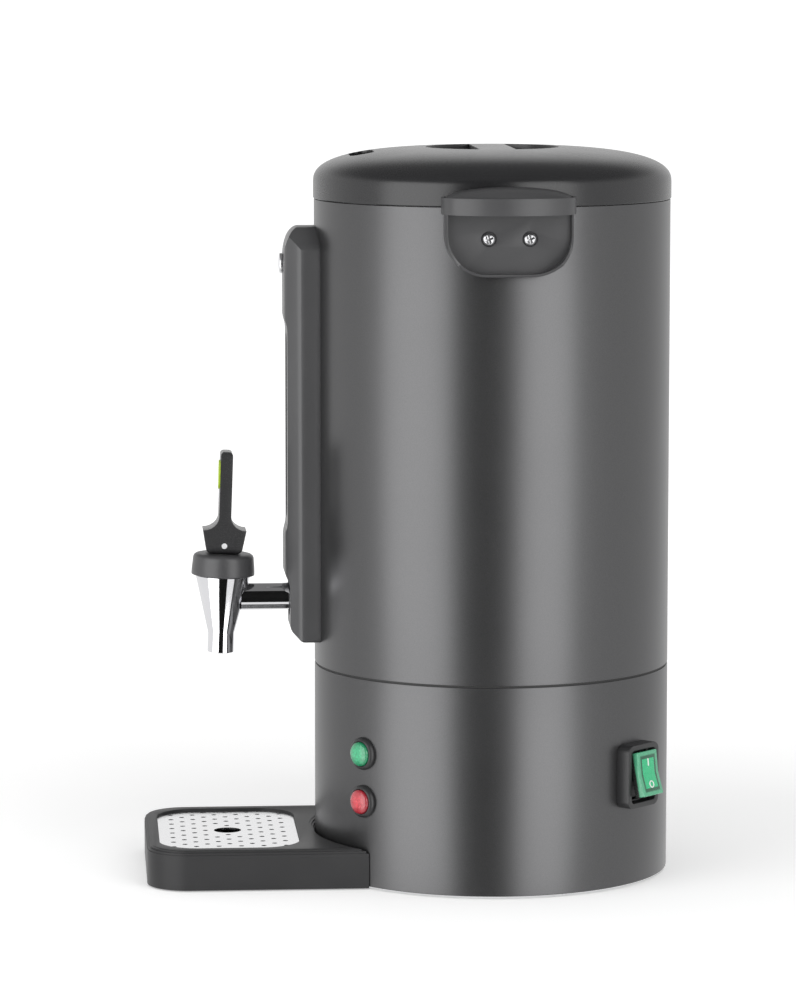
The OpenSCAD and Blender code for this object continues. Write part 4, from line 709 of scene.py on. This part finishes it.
column_black = moulded("column_black", (0.058, 0.058, 0.06), 0.33, 0.0004, 0.000012)
plan = eased([(-COLUMN_HALF, -100), (-COLUMN_HALF, -SIDE_FACE), (-FACE_HALF, -COLUMN_FACE),
              (FACE_HALF, -COLUMN_FACE), (COLUMN_HALF, -SIDE_FACE), (COLUMN_HALF, -100)], 3.4)
column = plate("column", plan, COLUMN_LOW, COLUMN_TOP)
shoulder = [(COLUMN_FACE - SHOULDER_DEPTH * (1 - x), COLUMN_TOP - SHOULDER_HEIGHT * (1 - y))
            for x, y in arc(0, 0, 1, 0, 90, 14)]
side_line = eased([(100, COLUMN_LOW), (118.5, COLUMN_LOW), (FOOT_FACE, 152), (FOOT_FACE, 179.5),
                   (COLUMN_FACE, 187), (COLUMN_FACE, 210), (WINDOW_FACE, 217), (WINDOW_FACE, 339),
                   (COLUMN_FACE, 346), *shoulder, (100, COLUMN_TOP)], 2.5, 4)
carved(column, settled(plate("side_block", side_line, -30, 30), turns=(90, 0, -90)), "INTERSECT")
front_line = eased([(-COLUMN_HALF, COLUMN_LOW), (COLUMN_HALF, COLUMN_LOW), (COLUMN_HALF, 388),
                    (11, COLUMN_TOP), (-11, COLUMN_TOP), (-COLUMN_HALF, 388)], 4)
carved(column, settled(plate("front_block", front_line, 90, 140), turns=(90, 0, 0)), "INTERSECT")
carved(column, begin("jacket_block", "cylinder", vertices=240, radius=BODY_R * 0.001, depth=0.4,
                     location=mm(0, 0, 300)))
slot_line = arc(0, 226.9, SLOT_HALF, 180, 360) + arc(0, 328.5, SLOT_HALF, 0, 180)
carved(column, settled(plate("slot", slot_line, 100, 140), turns=(90, 0, 0)))
carved(column, begin("opening", "cylinder", vertices=64, radius=0.012, depth=0.03,
                     location=mm(0, -128, SHANK_HEIGHT), rotation=(math.radians(90), 0, 0)))
fitted(settled(rounded(column, 0.5, 38, 3), smooth=30), column_black, "urn", "black_plastic", "column_cover")

tube_glass, shader, place = shader_of("tube_glass")
film_marks = noise(place, 0.006, 2.0)
feed(shader, place, {"Base Color": (0.9, 0.94, 0.93, 1), "Roughness": 0.03 + film_marks * 0.05,
                     "Transmission Weight": 0.9, "IOR": 1.47})
dress(tube_glass, "sight_tube")

button = turned("button", [
    (0, 0), (5.7, 0), (6.1, 0.3), (6.15, 0.9), (6.15, 1.5), (5.9, 2.0), (5.2, 2.3), (3.2, 2.52), (0, 2.6)], 64)
settled(button, (0, -COLUMN_FACE, BUTTON_HEIGHT), (90, 0, 0))
fitted(button, metal("button_steel", (0.8, 0.8, 0.81), 0.35), "urn", "steel", "plug_button")

# ---- Tap ----
# Chromed brass: a cone that narrows to the spout, held by a threaded shank that runs through the
# column into the vessel. A black cap closes its top, and the lever on the cap lifts the stem.

TAP_SPOT = (0, -167.6, 170.8)
TAP_LEAN = (-2, 0, 0)

chrome = metal("chrome", (0.82, 0.82, 0.84), 0.05, rub=0.03)
tap_cone = turned("tap_cone", [
    (5.9, -34.2), (6.1, -34.4), (7.9, -34.4), (8.2, -34.1), (8.2, -22.6), (8.35, -21.8), (16.8, 12.6),
    (17, 13.3), (16.8, 13.6), (14.4, 13.6), (14.4, 23.6), (12.2, 23.6), (12.2, 4), (6, -14), (5.9, -34.2)], 96)
fitted(settled(tap_cone, TAP_SPOT, TAP_LEAN, 25), chrome, "urn", "chrome", "tap_body")

cap_black = moulded("cap_black", (0.05, 0.05, 0.052), 0.36, 0.0005, 0.000015)
tap_cap = turned("tap_top_cap", [
    (15.2, 14), (19, 14), (19.45, 14.2), (19.6, 14.7), (19.5, 17.5), (18.85, 24.4), (18.65, 25.5), (18.1, 26.4),
    (17.1, 27.1), (15.8, 27.4), (3.1, 27.4), (3.1, 25), (15.2, 25), (15.2, 14)], 96)
fitted(settled(tap_cap, TAP_SPOT, TAP_LEAN, 40), cap_black, "urn", "black_plastic", "tap_cap")

dress(chrome, "tap_shank")

lever_black = moulded("lever_black", (0.03, 0.03, 0.031), 0.26, 0.0004, 0.000012)
fitted(softened("tap_lever", "lever", 1.3, segments=4), lever_black, "lever", "black_plastic", "tap_lever")
dress(moulded("lime", (0.5, 0.68, 0.03), 0.3), "lever_insert")

# ---- Lid ----
# A moulded crown with a rounded shoulder. Two half-moon pockets leave a bar across the middle to
# lift it by, and a slot at the front lets steam out.

LID_R = 110.5
LID_LOW = 417.8
CROWN_LOW = 428.0
LID_TOP = 449.5
GRIP_R = 41.0
GRIP_FLOOR = 428.5
LID_WALL = 2.5
BAR_HALF = 11.0
CUP_TOP = LID_TOP - 1.5
VENT_R = 7.5
VENT_HALF = 12.5
VENT_OUT = 81.0


def crown_line(inset, first, last, count):
    """Points of the crown's profile from one angle to another, drawn in by an inset."""
    line = []
    for i in range(count + 1):
        angle = math.radians(first + (last - first) * i / count)
        line.append(((LID_R - inset) * math.cos(angle) ** (2 / 3.3),
                     CROWN_LOW + (LID_TOP - CROWN_LOW - inset) * math.sin(angle) ** (2 / 2.5)))
    return line


lid_black = moulded("lid_black", (0.016, 0.016, 0.017), 0.26, 0.0004, 0.000012)
outer = [(LID_R, CROWN_LOW), *crown_line(0, 4, 78, 24)]
inner = [(LID_R - LID_WALL, CROWN_LOW), *crown_line(LID_WALL, 6, 78, 12)]
lid = turned("lid", [
    (0, outer[-1][1]), *reversed(outer), (LID_R, LID_LOW + 0.5), (LID_R - 0.5, LID_LOW),
    (LID_R - LID_WALL, LID_LOW), *inner, (0, inner[-1][1])], 192)
grip_cup = begin("cup", "cylinder", vertices=128, radius=(GRIP_R + LID_WALL) * 0.001,
                 depth=(CUP_TOP - GRIP_FLOOR + LID_WALL) * 0.001,
                 location=mm(0, 0, (CUP_TOP + GRIP_FLOOR - LID_WALL) / 2))
carved(lid, settled(grip_cup), "UNION")
reach = math.degrees(math.acos(BAR_HALF / GRIP_R))
for side in (90, -90):
    moon_line = arc(0, 0, GRIP_R, side - reach, side + reach, 40)
    carved(lid, plate("moon", moon_line, GRIP_FLOOR, LID_TOP + 5))
vent_line = arc(VENT_HALF, -VENT_OUT, VENT_R, -90, 90, 18) + arc(-VENT_HALF, -VENT_OUT, VENT_R, 90, 270, 18)
carved(lid, plate("slot", vent_line, CROWN_LOW + 4, LID_TOP + 5))
fitted(settled(rounded(lid, 0.7, 50, 3)), lid_black, "lid", "black_plastic", "lid_shell")

# ---- Drip tray and grille ----
# The tray is moulded to fit round the housing and lies loose on the worktop. Its grille is punched
# from stainless sheet, brushed along its length, and lifts out for cleaning.

tray_black = moulded("tray_black", (0.038, 0.038, 0.039), 0.4, 0.0004, 0.000012, 0.15)
fitted(softened("drip_tray", "tray", 0.5, angle=35), tray_black, "tray", "black_plastic", "drip_tray")
dress(metal("brushed_steel", (0.92, 0.92, 0.93), 0.2, 0.0003, (14, 1, 1), 0.000004), "tray_grille")
